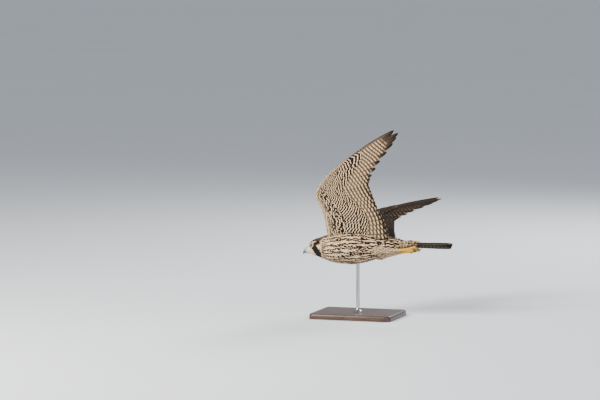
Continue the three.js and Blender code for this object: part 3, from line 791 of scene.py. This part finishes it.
def trunk_coat(start, end):
    """Feathers of head and body from start to end, in staggered rows and further back in columns."""
    xs, thetas = [], []
    x, row = start, 0
    while x < end:
        gap = float(coat(x, "spacing"))
        girth = TAU * (float(body(x, 3)) + float(body(x, 4)) + float(body(x, 5))) / 3
        count = max(12, round(girth / gap))
        if x < COLUMNS_FROM:
            drift = 0.5 * (row % 2) + rng.normal(0, 0.16, count)
        else:
            count = COLUMNS
            drift = 0.4 * np.sin(x * 0.04 + np.arange(count) * 2.4) + rng.normal(0, 0.03, count)
        thetas.append((np.arange(count) + drift) * TAU / count)
        xs.append(x + rng.normal(0, 0.12 * gap, count))
        x, row = x + gap * 0.82, row + 1
    x, theta = np.concatenate(xs), np.concatenate(thetas)
    x = np.maximum(x, TRUNK[0, 0])
    root, along, up = trunk_frame(x, theta, -coat(x, "depth"))
    length, width, lift = (coat(x, key) for key in ("length", "width", "lift"))
    length = length * (1 + 0.25 * step(0.9, 0.3, np.abs(np.sin(theta / 2))) * step(90, 130, x))
    length, clear = clear_of_eyes(root, along, length)
    fields = markings(root + along * length[:, None] * 0.6)
    fields["streak"] = fields["streak"] * rng.uniform(0.7, 1.1, len(x))
    fields["rate"] = np.full(len(x), RATES["body"])
    place = stacked((x - 10) / 350, (theta % TAU) / TAU)
    picked = {key: value[clear] for key, value in fields.items()}
    layout = [values[clear] for values in (root, along, up, length, width, lift, place)]
    return leaves(*layout, picked, turn=0.06)


# Least distance of a feather from the axis of an eye: at its root, and at its tip before and
# after it is shortened
EYE_CLEARANCE = {"root": 7.2, "short": 6.9, "tip": 6.6}


def clear_of_eyes(root, along, length):
    """Shortens feathers that would cross an eye, and marks those with no room at all."""
    clear = np.ones(len(root), bool)
    for side in (-1, 1):
        axis = eye_axis(side)

        def distance(points):
            arm = points - eye_centre(side)
            ahead = arm @ axis
            return np.where(ahead > 0, np.linalg.norm(arm - ahead[:, None] * axis, axis=1), 99)
        clear &= distance(root) > EYE_CLEARANCE["root"]
        for share in (1.0, 0.75, 0.5):
            crosses = distance(root + along * length[:, None]) < EYE_CLEARANCE["short"]
            length = np.where(crosses, length * share, length)
        clear &= distance(root + along * length[:, None]) > EYE_CLEARANCE["tip"]
    return length, clear


THIGH_ROWS = 25
THIGH_COLUMNS = 20


def thigh_coat(side):
    """Long soft feathers of the trousers."""
    path = finer(mirrored(THIGH, side), THIGH_ROWS)
    place, turn = np.meshgrid(np.arange(1, THIGH_ROWS - 1), np.arange(THIGH_COLUMNS), indexing="ij")
    place = place.ravel().astype(float) + rng.uniform(-0.4, 0.4, place.size)
    turn = (turn.ravel() + 0.5 * (place.astype(int) % 2)) * TAU / THIGH_COLUMNS
    turn = turn + rng.normal(0, 0.06, turn.size)

    def rows_at(places):
        return np.stack([np.interp(places, np.arange(THIGH_ROWS), column) for column in path.T], -1)
    at, ahead = rows_at(place), rows_at(place + 0.5)
    along = unit(ahead[:, :3] - at[:, :3] + [1e-6, 0, 0])
    across = unit(np.cross([0, 1, 0.001], along))
    lift = np.cross(along, across)
    up = across * np.cos(turn)[:, None] + lift * np.sin(turn)[:, None]
    root = at[:, :3] + up * (at[:, 3:] - 1.8)
    slope = (ahead[:, 3:] - at[:, 3:]) / np.maximum(np.linalg.norm(ahead - at, axis=1), 1e-6)[:, None]
    along = unit(along + up * slope)
    up = unit(up - along * np.sum(up * along, -1, keepdims=True))
    length = np.interp(root[:, 0], [212, 250, 293], [19, 18, 9])
    marks = {"dark": 0, "streak": 0.55, "bars": 0.25, "fringe": 0, "rate": RATES["thigh"]}
    fields = {key: np.full(len(root), float(value)) for key, value in marks.items()}
    where = stacked(place / THIGH_ROWS, (turn % TAU) / TAU)
    return leaves(root, along, up, length, length * 0.27, length * 0.1, where, fields)


# Wings

def wing_heading(table, s):
    """Direction of the coat in the planform: back on the arm, towards the feather tips on the hand."""
    s = np.asarray(s, float)
    if table is HAND:
        flat = stacked(np.interp(s, [0, 4], [0.2, 0.6]), np.interp(s, [0, 4], [0.98, 0.8]))
    else:
        flat = stacked(np.interp(s, [0, 5], [0.02, 0.2]), 1.0)
    return unit(flat)


def wing_fields(sign, c, rate):
    """Markings of coverts: brown with pale fringes above, cream with dark bars below."""
    count = len(c)
    above = float(sign > 0)
    return {
        "dark": np.full(count, above),
        "fringe": np.full(count, above) * rng.uniform(0.1, 0.45, count),
        "bars": (1 - above) * np.interp(c, [0, 0.12, 0.3], [0.6, 0.95, 1.0]),
        "streak": np.full(count, (1 - above) * 0.2),
        "rate": np.full(count, rate),
    }


def wing_place(sign, local):
    """Place on the unwrap of a wing's skin."""
    u = (local[..., 0] + 30) / 390
    v = (local[..., 1] + 60) / 300
    return stacked(0.01 + u * 0.98, 0.01 + 0.48 * v + 0.5 * (sign > 0))


# Chord shares of the lines of small coverts, and the stations between which they run
COVERT_LINES = [0.015, 0.05, 0.1, *np.arange(0.17, 0.93, 0.095)]
ARM_SPAN = (0.1, 4.98)
HAND_SPAN = (0.0, 3.95)


def small_coverts(side, sign, table, start, end):
    """Rows of small feathers over the flesh, larger towards the rear."""
    spots = []
    fine = np.linspace(start, end, 400)
    for k, c in enumerate(COVERT_LINES):
        line = wing_surface(table, fine, c, sign)
        length = np.concatenate([[0], np.cumsum(np.linalg.norm(np.diff(line, axis=0), axis=1))])
        gap = 5.6 + 2.8 * c
        count = int(length[-1] / gap)
        at = (np.arange(count) + 0.5 * (k % 2)) * gap + rng.normal(0, 0.5, count)
        spots.append(np.stack([np.interp(at, length, fine), c + rng.normal(0, 0.012, count)]))
    s, c = np.concatenate(spots, 1)
    c = np.clip(c, 0.01, 0.95)
    root, along, up = wing_frame(side, table, s, c, sign, wing_heading(table, s), 1.0)
    chord = np.linalg.norm(planform(table, "rear", s) - planform(table, "lead", s), axis=-1)
    length = np.clip(chord * 0.22, 8.5, 18.5) * (0.8 + 0.3 * c)
    place = wing_place(sign, wing_surface(table, s, c, sign))
    fields = wing_fields(sign, c, RATES["small"])
    return leaves(root, along, up, length, length * 0.32, length * 0.09 + 0.4, place, fields)


# Outlines of feathers: shares of the length, then of the leading and of the trailing half width
VANE_SHARES = {
    "long": ([0, 0.18, 0.5, 0.78, 0.93, 1], [0.3, 0.9, 1, 0.7, 0.5, 0.4], [0.25, 0.8, 1, 0.88, 0.55, 0.35]),
    "broad": ([0, 0.25, 0.7, 0.9, 1], [0.35, 0.9, 1, 0.9, 0.8], [0.3, 0.9, 1, 0.95, 0.85]),
    "short": ([0, 0.5, 0.85, 1], [0.5, 1, 1, 0.9], [0.5, 1, 1, 0.9]),
}
VANE_CAMBER = 0.05
VANE_FRAY = 0.02


def vane(to_bird_point, root, tip, lead, trail, shape, columns, rows, thick, rachis,
         sweep=0, sag=0, tilt=TILT, arch=0):
    """One feather from root to tip, both [a, b, height], as rows of closed rings."""
    root, tip = np.asarray(root, float), np.asarray(tip, float)
    across, face = vane_ring(columns)
    t = np.sin(np.linspace(0, 1, rows) * math.pi / 2) ** 1.15
    keys, lead_share, trail_share = VANE_SHARES[shape]
    blunt = np.sqrt(np.clip(1 - (np.clip(t - 0.9, 0, 1) / 0.1) ** 2, 0.004, 1))
    ragged = 1 + rng.normal(0, VANE_FRAY, (2, rows))
    front = lead * np.interp(t, keys, lead_share) * blunt * ragged[0]
    back = trail * np.interp(t, keys, trail_share) * blunt * ragged[1]
    half = np.where(across > 0, front[:, None], back[:, None]) * across
    span = tip[:2] - root[:2]
    length = np.linalg.norm(span)
    ahead = np.array([span[1], -span[0]]) / length
    t = t[:, None]
    flat = root[:2] + span * t[..., None] + ahead * (sweep * 4 * t * (1 - t) + half)[..., None]
    width = np.maximum(np.where(across > 0, lead, trail), 1)
    height = (
        root[2] + (tip[2] - root[2]) * t - sag * t**2 + arch * 4 * t * (1 - t) + tilt * half
        - VANE_CAMBER * half**2 / width + face * (thick / 2) * (1 - 0.5 * t)
        + face * (np.abs(across) < 0.06) * rachis * (1 - 0.8 * t)
    )
    return to_bird_point(np.concatenate([flat, height[..., None]], -1)), across, face, t


BAR_STEP = 11.0
QUILL_COLUMNS = [-1, -0.72, -0.42, -0.1, -0.045, 0, 0.06, 0.14, 0.5, 1]
COVERT_COLUMNS = [-1, -0.5, 0, 0.5, 1]


def vanes(to_bird_point, sets, columns, rows, thick, rachis):
    """Feathers from keyword sets for vane(): points, across places, face signs and Vane map."""
    made = []
    for settings in sets:
        points, across, face, t = vane(
            to_bird_point, columns=columns, rows=rows, thick=thick, rachis=rachis, **settings,
        )
        made.append(points)
    return np.stack(made), across, face, across_and_along(across, t)


def quills(to_bird_point, sets, bars, tip_width, rows=30, shade=0.0, barred=(0.9, 0.9)):
    """Flight feathers with raised shafts, from a list of keyword sets for vane()."""
    points, across, face, vane_map = vanes(to_bird_point, sets, QUILL_COLUMNS, rows, 0.4, 0.55)
    count = len(sets)
    spans = [np.subtract(item["tip"][:2], item["root"][:2]) for item in sets]
    fields = {
        "below": ((face < 0) | (across < -0.99)) * 1.0,
        "reach": each([np.hypot(*span) / BAR_STEP for span in spans]),
        "bars": bars,
        "tip": tip_width,
        "shade": shade,
        "barred": each(np.linspace(*barred, count)),
        "tone": each(rng.uniform(0, 1, count)),
    }
    # A strip of the unwrap for each feather, with its lower face beside the upper one
    strip = (vane_map * [0.42, 0.94] + [0.04, 0.03])[None]
    strip = strip + (face < 0)[None, None, :, None] * [0.5, 0]
    bake = (strip + each(stacked(np.arange(count), 0))) / [count, 1]
    return part(points, fields, {"Vane": vane_map[None], "OFBake": bake})


def coverts(to_bird_point, sets, fields, place):
    """Larger covert feathers from keyword sets for vane()."""
    points, _, _, vane_map = vanes(to_bird_point, sets, COVERT_COLUMNS, 12, 0.35, 0.12)
    return small_feathers(points, vane_map, place, fields)


def feather(table, shape, root, tip, **more):
    """Keyword set for vane() from a table of feathers."""
    settings = {key: table[key] for key in ("lead", "trail", "sweep", "sag", "arch") if key in table}
    return {"root": root, "tip": tip, "shape": shape, **settings, **more}


def secondary_sets():
    """Keyword sets of the flight feathers of the arm."""
    sets = []
    for s in np.linspace(SECONDARIES["from"], SECONDARIES["to"], SECONDARIES["count"]):
        rear, lead, trail = (planform(ARM, key, s) for key in ("rear", "lead", "trail"))
        root = rear + (lead - rear) * SECONDARIES["inset"]
        sets.append(feather(SECONDARIES, "broad", [*root, SECONDARIES["up"]], [*trail, 1]))
    sets[-1]["lead"] = SECONDARIES["last_lead"]
    return sets


def primary_line(i):
    """Root and tip of primary feather i, which may lie between two."""
    first, last = np.array(PRIMARY_ROOTS, float)
    count = PRIMARIES["count"]
    return first + (last - first) * i / (count - 1), smooth_table(np.arange(count), PRIMARY_TIPS, i)


def primary_sets():
    """Keyword sets of the flight feathers of the hand."""
    sets = []
    for i in range(PRIMARIES["count"]):
        root, tip = primary_line(i)
        sets.append(feather(PRIMARIES, "long", [*root, PRIMARIES["up"]], [*tip, 1]))
    sets[0]["trail"] = PRIMARIES["first_trail"]
    return sets


# Rows of larger coverts: chord share of the root, reach behind the flesh, heights of the tip,
# half widths and count on the arm; then the share of the primary and the count on the hand
COVERT_ROWS = [
    {"c": 0.74, "reach": 33, "above": 3.5, "below": -2.0, "lead": 6.5, "trail": 9.0, "count": 20,
     "share": 0.37, "hand": 12, "rate": 7.0},
    {"c": 0.6, "reach": 12, "above": 5.0, "below": -3.0, "lead": 6.0, "trail": 7.5, "count": 24,
     "share": 0.2, "hand": 15, "rate": 5.6},
]
ARM_COVERTS_SPAN = (0.42, 5.0)
HAND_COVERTS_SPAN = (-0.9, 9)
ROW_FRINGE = 0.12


def covert_row(side, sign, row):
    """One row of larger coverts on arm and hand, on the face of that sign."""
    ends = []
    for s in np.linspace(*ARM_COVERTS_SPAN, row["count"]):
        root = wing_surface(ARM, s, row["c"], sign, 0.6)
        rear, trail = planform(ARM, "rear", s), planform(ARM, "trail", s)
        tip = rear + unit(trail - rear) * row["reach"] * rng.uniform(0.94, 1.05)
        ends.append((root, tip, 0.8))
    for i in np.linspace(*HAND_COVERTS_SPAN, row["hand"]):
        first, last = primary_line(i)
        tip = first + (last - first) * row["share"] * rng.uniform(0.95, 1.04)
        root = np.array([*(first + (last - first) * -0.06), 2.6 if sign > 0 else -0.4])
        ends.append((root, tip, 0.5))
    up = row["above" if sign > 0 else "below"]
    sets = [feather(row, "short", root, [*tip, up], arch=arch * sign) for root, tip, arch in ends]
    places = np.array([wing_place(sign, root) for root, _, _ in ends])
    fields = wing_fields(sign, np.full(len(sets), 0.9), row["rate"])
    fields["fringe"] *= ROW_FRINGE
    return coverts(partial(wing_point, side), sets, fields, places)


def alula(side):
    """Short stiff feathers on the thumb."""
    sets = []
    for i in range(ALULA["count"]):
        root, tip = [156 - 5 * i, -36 - i, 3], [205 - 11 * i, 12 - 9 * i, 5.2 - 0.7 * i]
        sets.append(feather(ALULA, "short", root, tip))
    return quills(partial(wing_point, side), sets, 0.5, 0.0, rows=16)


JUNCTION_COUNT = 84
JUNCTION_LENGTH = 27.0


def junction(side, sign):
    """Long feathers over the root of the wing: scapulars above, axillars below."""
    count = JUNCTION_COUNT
    s = rng.uniform(0.12, 1.35 if sign > 0 else 0.95, count)
    c = rng.uniform(0.1, 0.95, count)
    order = np.argsort(-c)
    s, c = s[order], c[order]
    heading = unit(stacked(np.full(count, -0.12), 1.0))
    root, along, up = wing_frame(side, ARM, s, c, sign, heading, 0.8)
    place = wing_place(sign, wing_surface(ARM, s, c, sign))
    length = np.full(count, JUNCTION_LENGTH)
    fields = wing_fields(sign, c, RATES["junction"])
    return leaves(root, along, up, length, length * 0.24, length * 0.1, place, fields, 5)


def wing(side, label):
    """Flight feathers and coverts of one wing."""
    to_wing = partial(wing_point, side)
    flight = [
        quills(to_wing, primary_sets(), 1.0, 0.003, barred=(0.93, 0.74)),
        quills(to_wing, secondary_sets(), 1.0, 0.008, barred=(0.93, 0.95)),
        alula(side),
    ]
    piece(f"flight_feathers_{label}", flight, QUILL, sharp=35)
    for sign, place in ((1, "upper"), (-1, "under")):
        rows = [covert_row(side, sign, row) for row in COVERT_ROWS]
        rows.append(small_coverts(side, sign, ARM, *ARM_SPAN))
        rows.append(small_coverts(side, sign, HAND, *HAND_SPAN))
        rows.append(junction(side, sign))
        piece(f"coverts_{place}_{label}", rows, PLUMAGE)


def tail():
    """Pairs of tail feathers, the middle pair on top."""
    parts = []
    for side in (-1, 1):
        sets = []
        for i in range(RECTRICES["pairs"]):
            across = RECTRICES["offset"] * (i + 0.5)
            height = RECTRICES["up"] - RECTRICES["step"] * (i + (0.5 if side > 0 else 0))
            root = [across * 0.5, RECTRICES["root"], height]
            tip = [across * RECTRICES["fan"], RECTRICES["tip"] - RECTRICES["shorter"] * i, height - 2]
            trail = min(RECTRICES["trail"], across * 0.9 + 3)
            sets.append(feather(RECTRICES, "broad", root, tip, trail=trail, tilt=0))
        parts.append(quills(partial(tail_point, side), sets, 0.12, 0.012, shade=0.95))
    piece("tail_feathers", parts, QUILL, ["tail"], sharp=35)


# Skin

SKIN = {"spacing": 1.6, "sides": 72, "voxel": 1.3, "passes": 4}


def trunk_loft():
    """Flesh of head, neck and body."""
    start, end = TRUNK[0, 0] + 0.3, TRUNK[-1, 0]
    x = np.linspace(start, end, round((end - start) / SKIN["spacing"]))[:, None]
    theta = np.linspace(0, TAU, SKIN["sides"], endpoint=False)[None]
    return trunk_point(x, theta, -coat(x, "depth"))


def wing_loft(side, table):
    """Flesh of one wing length, a little thinner than the coverts over it."""
    s = np.linspace(0, len(table["thick"]) - 1, 40)[:, None]
    c = np.concatenate([np.linspace(0, 1, 16) ** 1.4, np.linspace(1, 0, 16) ** 1.4])[None]
    sign = np.concatenate([np.ones(16), -np.ones(16)])[None]
    return wing_point(side, wing_surface(table, s, c, sign, 0.9))


def skin():
    """One skin under the coat of the whole bird."""
    parts = [part(trunk_loft())]
    for side in (-1, 1):
        parts += [part(wing_loft(side, ARM)), part(wing_loft(side, HAND))]
        thigh = finer(mirrored(THIGH, side), 30) - [0, 0, 0, 1.6]
        parts.append(part(limb_rings(thigh, 24)))
    mesh = fused("skin", parts, SKIN["voxel"], SKIN["passes"])
    p = bird_vertices(mesh)
    fields = markings(p)
    out, up = turned(np.abs(p[:, 1]) - SHOULDER[1], p[:, 2] - SHOULDER[2], -DIHEDRAL)
    on_wing = step(24, 30, out)
    above = step(0, 3, up)
    shade = np.maximum(fields["dark"], fields["streak"] * 0.4)
    set_field(mesh, "dark", shade * (1 - on_wing) + on_wing * (0.45 + 0.55 * above))
    flesh = ["head", "neck", "torso"]
    flesh += [f"{name}_{label}" for label in SIDES for name in ("thigh", "wing_arm", "wing_hand")]
    ride("skin", mesh, PLUMAGE, flesh)


# Bill: rows of top u and v, edge u and v, half width

UPPER_BILL = [
    [-18.0, 9.5, -15.0, -6.2, 8.2], [-22.5, 10.2, -21.0, -6.2, 9.4], [-27.0, 9.8, -26.0, -6.0, 8.8],
    [-30.5, 8.3, -29.0, -5.6, 7.3], [-34.5, 5.8, -32.0, -5.2, 6.2], [-38.2, 2.2, -35.0, -6.6, 4.9],
    [-40.8, -2.0, -37.4, -6.0, 3.6], [-42.5, -6.2, -39.6, -7.4, 2.2], [-42.9, -10.2, -41.6, -10.6, 0.9],
]
LOWER_BILL = [
    [-15.0, -13.6, -15.0, -6.6, 7.6], [-21.0, -13.4, -21.0, -6.6, 8.2], [-26.0, -12.6, -26.5, -6.5, 7.4],
    [-31.0, -11.2, -31.5, -6.6, 5.4], [-35.0, -9.4, -35.0, -7.3, 3.4], [-36.8, -8.6, -36.6, -7.6, 1.6],
]
BILL_TIP = (-42.9, 0.0, -10.4)
NOSTRIL = (-25.0, 3.4)
CERE_END = -27.6
CERE_SWELL = 0.35
BLACK_FROM = {"upper": (-29, -41), "lower": (-28, -36)}


def bill_half(half, rows):
    """One half of the bill, with its cere, and nostrils where it is the upper one."""
    rows = finer(rows, 70)
    top_u, top_v, edge_u, edge_v, width = rows.T[:, :, None]
    turn = np.linspace(0, math.pi, 41)
    rise = np.sin(turn) ** 0.85
    u = edge_u + (top_u - edge_u) * rise
    v = edge_v + (top_v - edge_v) * rise
    y = width * np.cos(turn)
    wax = step(CERE_END - 0.4, CERE_END + 0.4, u - 0.12 * np.abs(v))
    y = y + np.sign(y) * CERE_SWELL * wax
    v = v + CERE_SWELL * wax * np.sign(top_v - edge_v) * rise
    if half == "upper":
        gap = np.hypot(u - NOSTRIL[0], v - NOSTRIL[1])
        pit = 1.9 * step(1.75, 1.0, gap) - 1.3 * step(0.75, 0.3, gap)
        rim = 0.3 * np.exp(-(((gap - 2.1) / 0.5) ** 2))
        y = y - np.sign(y) * (pit - rim) * step(1.5, 4.0, np.abs(y))
    inner = np.array([[-0.75, -0.35, 0, 0.35, 0.75]])
    hollow = 0.8 * np.sign(top_v - edge_v) * (1 - inner**2)
    u = np.concatenate([u, edge_u + 0 * inner], 1)
    v = np.concatenate([v, edge_v + hollow], 1)
    y = np.concatenate([y, width * inner], 1)
    wax = np.concatenate([wax, np.zeros_like(hollow)], 1)
    fields = {"cere": wax[None], "tipward": step(*BLACK_FROM[half], u)[None]}
    made = part(head_point(u, y, v), fields)
    piece(f"bill_{half}_horn", [made], HORN, [f"bill_{half}"], sharp=70)


def spun(centre, axis, profile, count, squash=0.0):
    """Closed ring round an axis; the profile has rows of radius and height."""
    up = unit(np.cross(np.cross(axis, [0, 0, 1.0]), axis))
    across = np.cross(up, axis)
    turn = np.linspace(0, TAU, count, endpoint=False)[:, None]
    radius, height = np.asarray(profile, float).T
    flat = radius * (1 - squash * np.clip(np.sin(turn), 0, 1) ** 2)
    return (
        centre + across * (radius * np.cos(turn))[..., None] + up * (flat * np.sin(turn))[..., None]
        + axis * (height + 0 * turn)[..., None]
    )


EYE_SIDES = 64
LID_SIDES = 96
LID_RIPPLES = 22

# Section of the lids' ring: distance from the axis of the eye, and height along it
LID_PROFILE = [
    [5.6, 5.0], [5.65, 5.6], [6.1, 5.85], [6.6, 5.5], [7.1, 4.8], [7.7, 3.7], [8.2, 2.4], [7.8, 1.4],
    [6.6, 3.0],
]


def eye(side, label):
    """Wet dark eye with its cornea and pupil, and the bare ring of the lids round it."""
    axis, centre = eye_axis(side), eye_centre(side)
    off = np.linspace(0.02, math.pi - 0.02, 60)
    radius = EYE["radius"] * (1 + 0.03 * np.exp(-((off / 0.5) ** 2)))
    profile = stacked(radius * np.sin(off), radius * np.cos(off))
    rings = spun(centre, axis, profile, EYE_SIDES).swapaxes(0, 1)
    ball = part(rings, {"off": off[None, :, None]})
    piece(f"eyeball_{label}", [ball], EYE_WET, [f"eye_{label}"], sharp=80)
    lid = spun(centre, axis, LID_PROFILE, LID_SIDES, 0.1)
    ripple = 0.12 * np.sin(np.arange(LID_SIDES) * TAU / LID_SIDES * LID_RIPPLES)[:, None, None] * axis
    closed = np.concatenate([lid + ripple, (lid + ripple)[:1]])
    piece(f"eyelids_{label}", [part(closed)], RING_SKIN, sharp=80)


# Lips in head coordinates: start, length, v, drop at the end, and distance of each from the line
LIPS = {"u": -25.5, "length": 15.5, "v": -6.6, "drop": 2.4, "apart": 0.55, "radius": 0.75}


def mouth_corner(side, label):
    """Fleshy lips along the line of the mouth behind the bill."""
    parts = []
    for shift in (LIPS["apart"], -LIPS["apart"]):
        path = []
        for t in np.linspace(0, 1, 24):
            v = LIPS["v"] - LIPS["drop"] * t * t + shift * (1 - 0.8 * t)
            x, _, z = head_point(LIPS["u"] + LIPS["length"] * t, 0.0, v)
            path.append([x, side * (face_width(x, z) - 0.5 - 0.3 * t), z, LIPS["radius"] * (1 - 0.55 * t)])
        parts.append(part(limb_rings(path, 12)))
    piece(f"mouth_corner_{label}", parts, RING_SKIN, sharp=80)


# Legs

def toe_path(toe, count):
    """Path of the right foot's toe, bulging at its joints and scales."""
    across, spread, length, radius, height = toe
    t = np.linspace(0, 1, count)
    joint = 1 + 0.1 * np.cos(t * TAU * 3)
    scutes = 1 + 0.07 * np.abs(np.sin(t * math.pi * length / 2.2))
    return stacked(
        FOOT[0] + 3 + length * t,
        FOOT[1] + across * np.minimum(1, t * 2.2) + spread * t,
        FOOT[2] + height * np.minimum(1, t * 3) + 3.2 * np.sin(math.pi * t * 0.55) + 1.5 * t * t,
        radius * (1 - 0.22 * t) * joint * scutes,
    )


def leg(side, label):
    """Scaled tarsus and toes, with the claws as pieces of their own."""
    shank = finer(TARSUS, 70)
    shank[:, 3] *= 1 + 0.05 * np.abs(np.sin(np.linspace(0, math.pi * 14, 70)))
    hub = finer(np.add(HUB, [*FOOT, 0]), 12)
    paths = [shank, hub, *[toe_path(toe, 60) for toe in TOES.values()]]
    parts = [part(limb_rings(mirrored(path, side), 20)) for path in paths]
    mesh = fused(f"leg_{label}", parts, 0.45, 2)
    ride(f"leg_{label}", mesh, FOOT_SKIN, [f"tarsus_{label}", f"foot_{label}"])
    for name, toe in TOES.items():
        x, y, z, _ = toe_path(toe, 2)[-1]
        t = np.linspace(-0.12, 1, 30)
        turn = t * CLAW_TURN
        path = stacked(
            x + CLAW_BEND * np.sin(turn), y, z + CLAW_BEND * (1 - np.cos(turn)),
            2.0 * np.clip(1 - t, 0, 1) ** 0.8 + 0.2,
        )
        claw = part(limb_rings(mirrored(path, side), 16))
        piece(f"claw_{label}_{name}", [claw], CLAW, [f"talon_{label}_{name}"], sharp=80)


# Stand, in metres in the row frame

BEVEL = 0.004
BASE_CORNER = 0.016

# Edge of the base: inset in bevels and share of its height; rod: radius and height over its foot
BASE_PROFILE = [
    (1.0, 0.0), (0.0, 0.0), (0.0, 0.45), (0.15, 0.6), (0.2, 0.8), (0.55, 0.92), (1.0, 1.0),
]
ROD_PROFILE = [
    (0.0125, 0), (0.013, 0.0005), (0.013, 0.002), (0.0122, 0.003), (0.0085, 0.0045), (0.0066, 0.0068),
    (0.0058, 0.009), (0.005, 0.0105),
]
ROD_RADIUS = 0.005


def rounded(middle, half, radius, z):
    """Ring of a rectangle with round corners, at height z."""
    ring = []
    for quarter, (x, y) in enumerate([(1, 1), (-1, 1), (-1, -1), (1, -1)]):
        turn = TAU * (quarter / 4 + np.linspace(0, 0.25, 10))
        ring.append(stacked(
            middle.x + x * (half[0] - radius) + radius * np.cos(turn),
            middle.y + y * (half[1] - radius) + radius * np.sin(turn), z,
        ))
    return np.concatenate(ring)


def stand():
    """Moulded wooden base, and a round steel rod in a turned foot."""
    low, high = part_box("stand_base")
    half, middle = (high - low) / 2, (high + low) / 2
    rings = []
    for inset, height in BASE_PROFILE:
        reach = (half.x - inset * BEVEL, half.y - inset * BEVEL)
        z = low.z + 2 * half.z * height
        rings.append(rounded(middle, reach, BASE_CORNER - inset * BEVEL, z))
    piece("base_moulded", [part(to_bird(np.stack(rings)))], WOOD, ["stand_base"], sharp=35)
    foot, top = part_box("stand_rod")
    x, y = (foot.x + top.x) / 2, (foot.y + top.y) / 2
    turn = np.linspace(0, TAU, 64, endpoint=False)
    r, h = np.array([*ROD_PROFILE, (ROD_RADIUS, top.z - foot.z + MM)]).T[:, :, None]
    rod = stacked(x + r * np.cos(turn), y + r * np.sin(turn), foot.z + h)
    piece("rod_turned", [part(to_bird(rod))], STEEL, ["stand_rod"], sharp=35)


# Stage, light and camera

CAMERA_AZIMUTH = math.radians(18)
CAMERA_ELEVATION = math.radians(5)
LENS = 180
SENSOR = 36
IMAGE_SIZE = (600, 400)
PIXEL = 0.00296
BILL_PIXEL = (303.2, 254.0)
FLOOR_SIZE = 400.0
SKY_STRENGTH = 0.62
MIDDLE = (0, 0, 0.3)

# Lamps: place, target, size, power and colour
LAMPS = {
    "key": ((-1.9, -2.6, 2.2), MIDDLE, 1.5, 250, (1.0, 0.96, 0.9)),
    "fill": ((2.6, -2.4, 1.0), MIDDLE, 2.0, 40, (0.92, 0.96, 1.0)),
    "rim": ((0.8, 2.8, 2.4), (0, 0, 0.35), 1.6, 120, (1.0, 1.0, 1.0)),
}


def plain_stage():
    """Pale floor under a plain sky."""
    g = Graph("floor_paint", {"Roughness": 0.9, "Specular IOR Level": 0.1})
    paint = g.finish(g.mix(g.noise(0.8, 2.0), tone(222, 226, 230), tone(228, 231, 234)))
    mesh = bpy.data.meshes.new("floor")
    r = FLOOR_SIZE / 2
    mesh.from_pydata([(-r, -r, 0), (r, -r, 0), (r, r, 0), (-r, r, 0)], [], [(0, 1, 2, 3)])
    mesh.materials.append(paint)
    linked("floor", mesh)
    world = bpy.data.worlds.new("studio")
    world.use_nodes = True
    sky = world.node_tree.nodes["Background"]
    sky.inputs["Color"].default_value = tone(226, 232, 240)
    sky.inputs["Strength"].default_value = SKY_STRENGTH
    bpy.context.scene.world = world


def aimed(made, place, direction):
    """Puts a lamp or camera in its place, looking in the direction."""
    made.location = place
    made.rotation_euler = direction.to_track_quat("-Z", "Y").to_euler()


def lamp(name, place, target, size, power, colour):
    """Soft round lamp."""
    light = bpy.data.lights.new(name, "AREA")
    light.shape = "DISK"
    light.size = size
    light.energy = power
    light.color = colour
    aimed(linked(name, light), place, Vector(target) - Vector(place))


def camera():
    """Long lens at the photograph's angle, with the bill where the photograph has it."""
    cos, sin = math.cos(CAMERA_ELEVATION), math.sin(CAMERA_ELEVATION)
    back = Vector((math.sin(CAMERA_AZIMUTH) * cos, -math.cos(CAMERA_AZIMUTH) * cos, sin))
    right = Vector((math.cos(CAMERA_AZIMUTH), math.sin(CAMERA_AZIMUTH), 0))
    up = back.cross(right)
    bill = Vector(to_row(head_point(*BILL_TIP)))
    across = IMAGE_SIZE[0] / 2 - BILL_PIXEL[0]
    rise = BILL_PIXEL[1] - IMAGE_SIZE[1] / 2
    aim = bill + right * across * PIXEL + up * rise * PIXEL
    distance = IMAGE_SIZE[0] * PIXEL * LENS / SENSOR
    data = bpy.data.cameras.new("camera")
    data.lens = LENS
    data.sensor_width = SENSOR
    data.clip_start = 0.1
    data.clip_end = FLOOR_SIZE
    made = linked("camera", data)
    aimed(made, aim + back * distance, -back)
    bpy.context.scene.camera = made


PLUMAGE = plumage()
QUILL = quill()
HORN = horn()
EYE_WET = wet_eye()
RING_SKIN = bare_skin("ring_skin", tone(196, 190, 140), tone(214, 196, 130), 900.0)
FOOT_SKIN = bare_skin("foot_skin", tone(236, 186, 60), tone(218, 158, 38), 620.0)
CLAW = claw_horn()
WOOD = stained_wood()
STEEL = brushed_steel()

skin()
for name, ends in COAT_ENDS.items():
    piece(f"coat_{name}", [trunk_coat(*ends)], PLUMAGE)
tail()
bill_half("upper", UPPER_BILL)
bill_half("lower", LOWER_BILL)
for label, side in SIDES.items():
    wing(side, label)
    eye(side, label)
    mouth_corner(side, label)
    leg(side, label)
    piece(f"coat_thigh_{label}", [thigh_coat(side)], PLUMAGE)
stand()

plain_stage()
for name, settings in LAMPS.items():
    lamp(name, *settings)
camera()
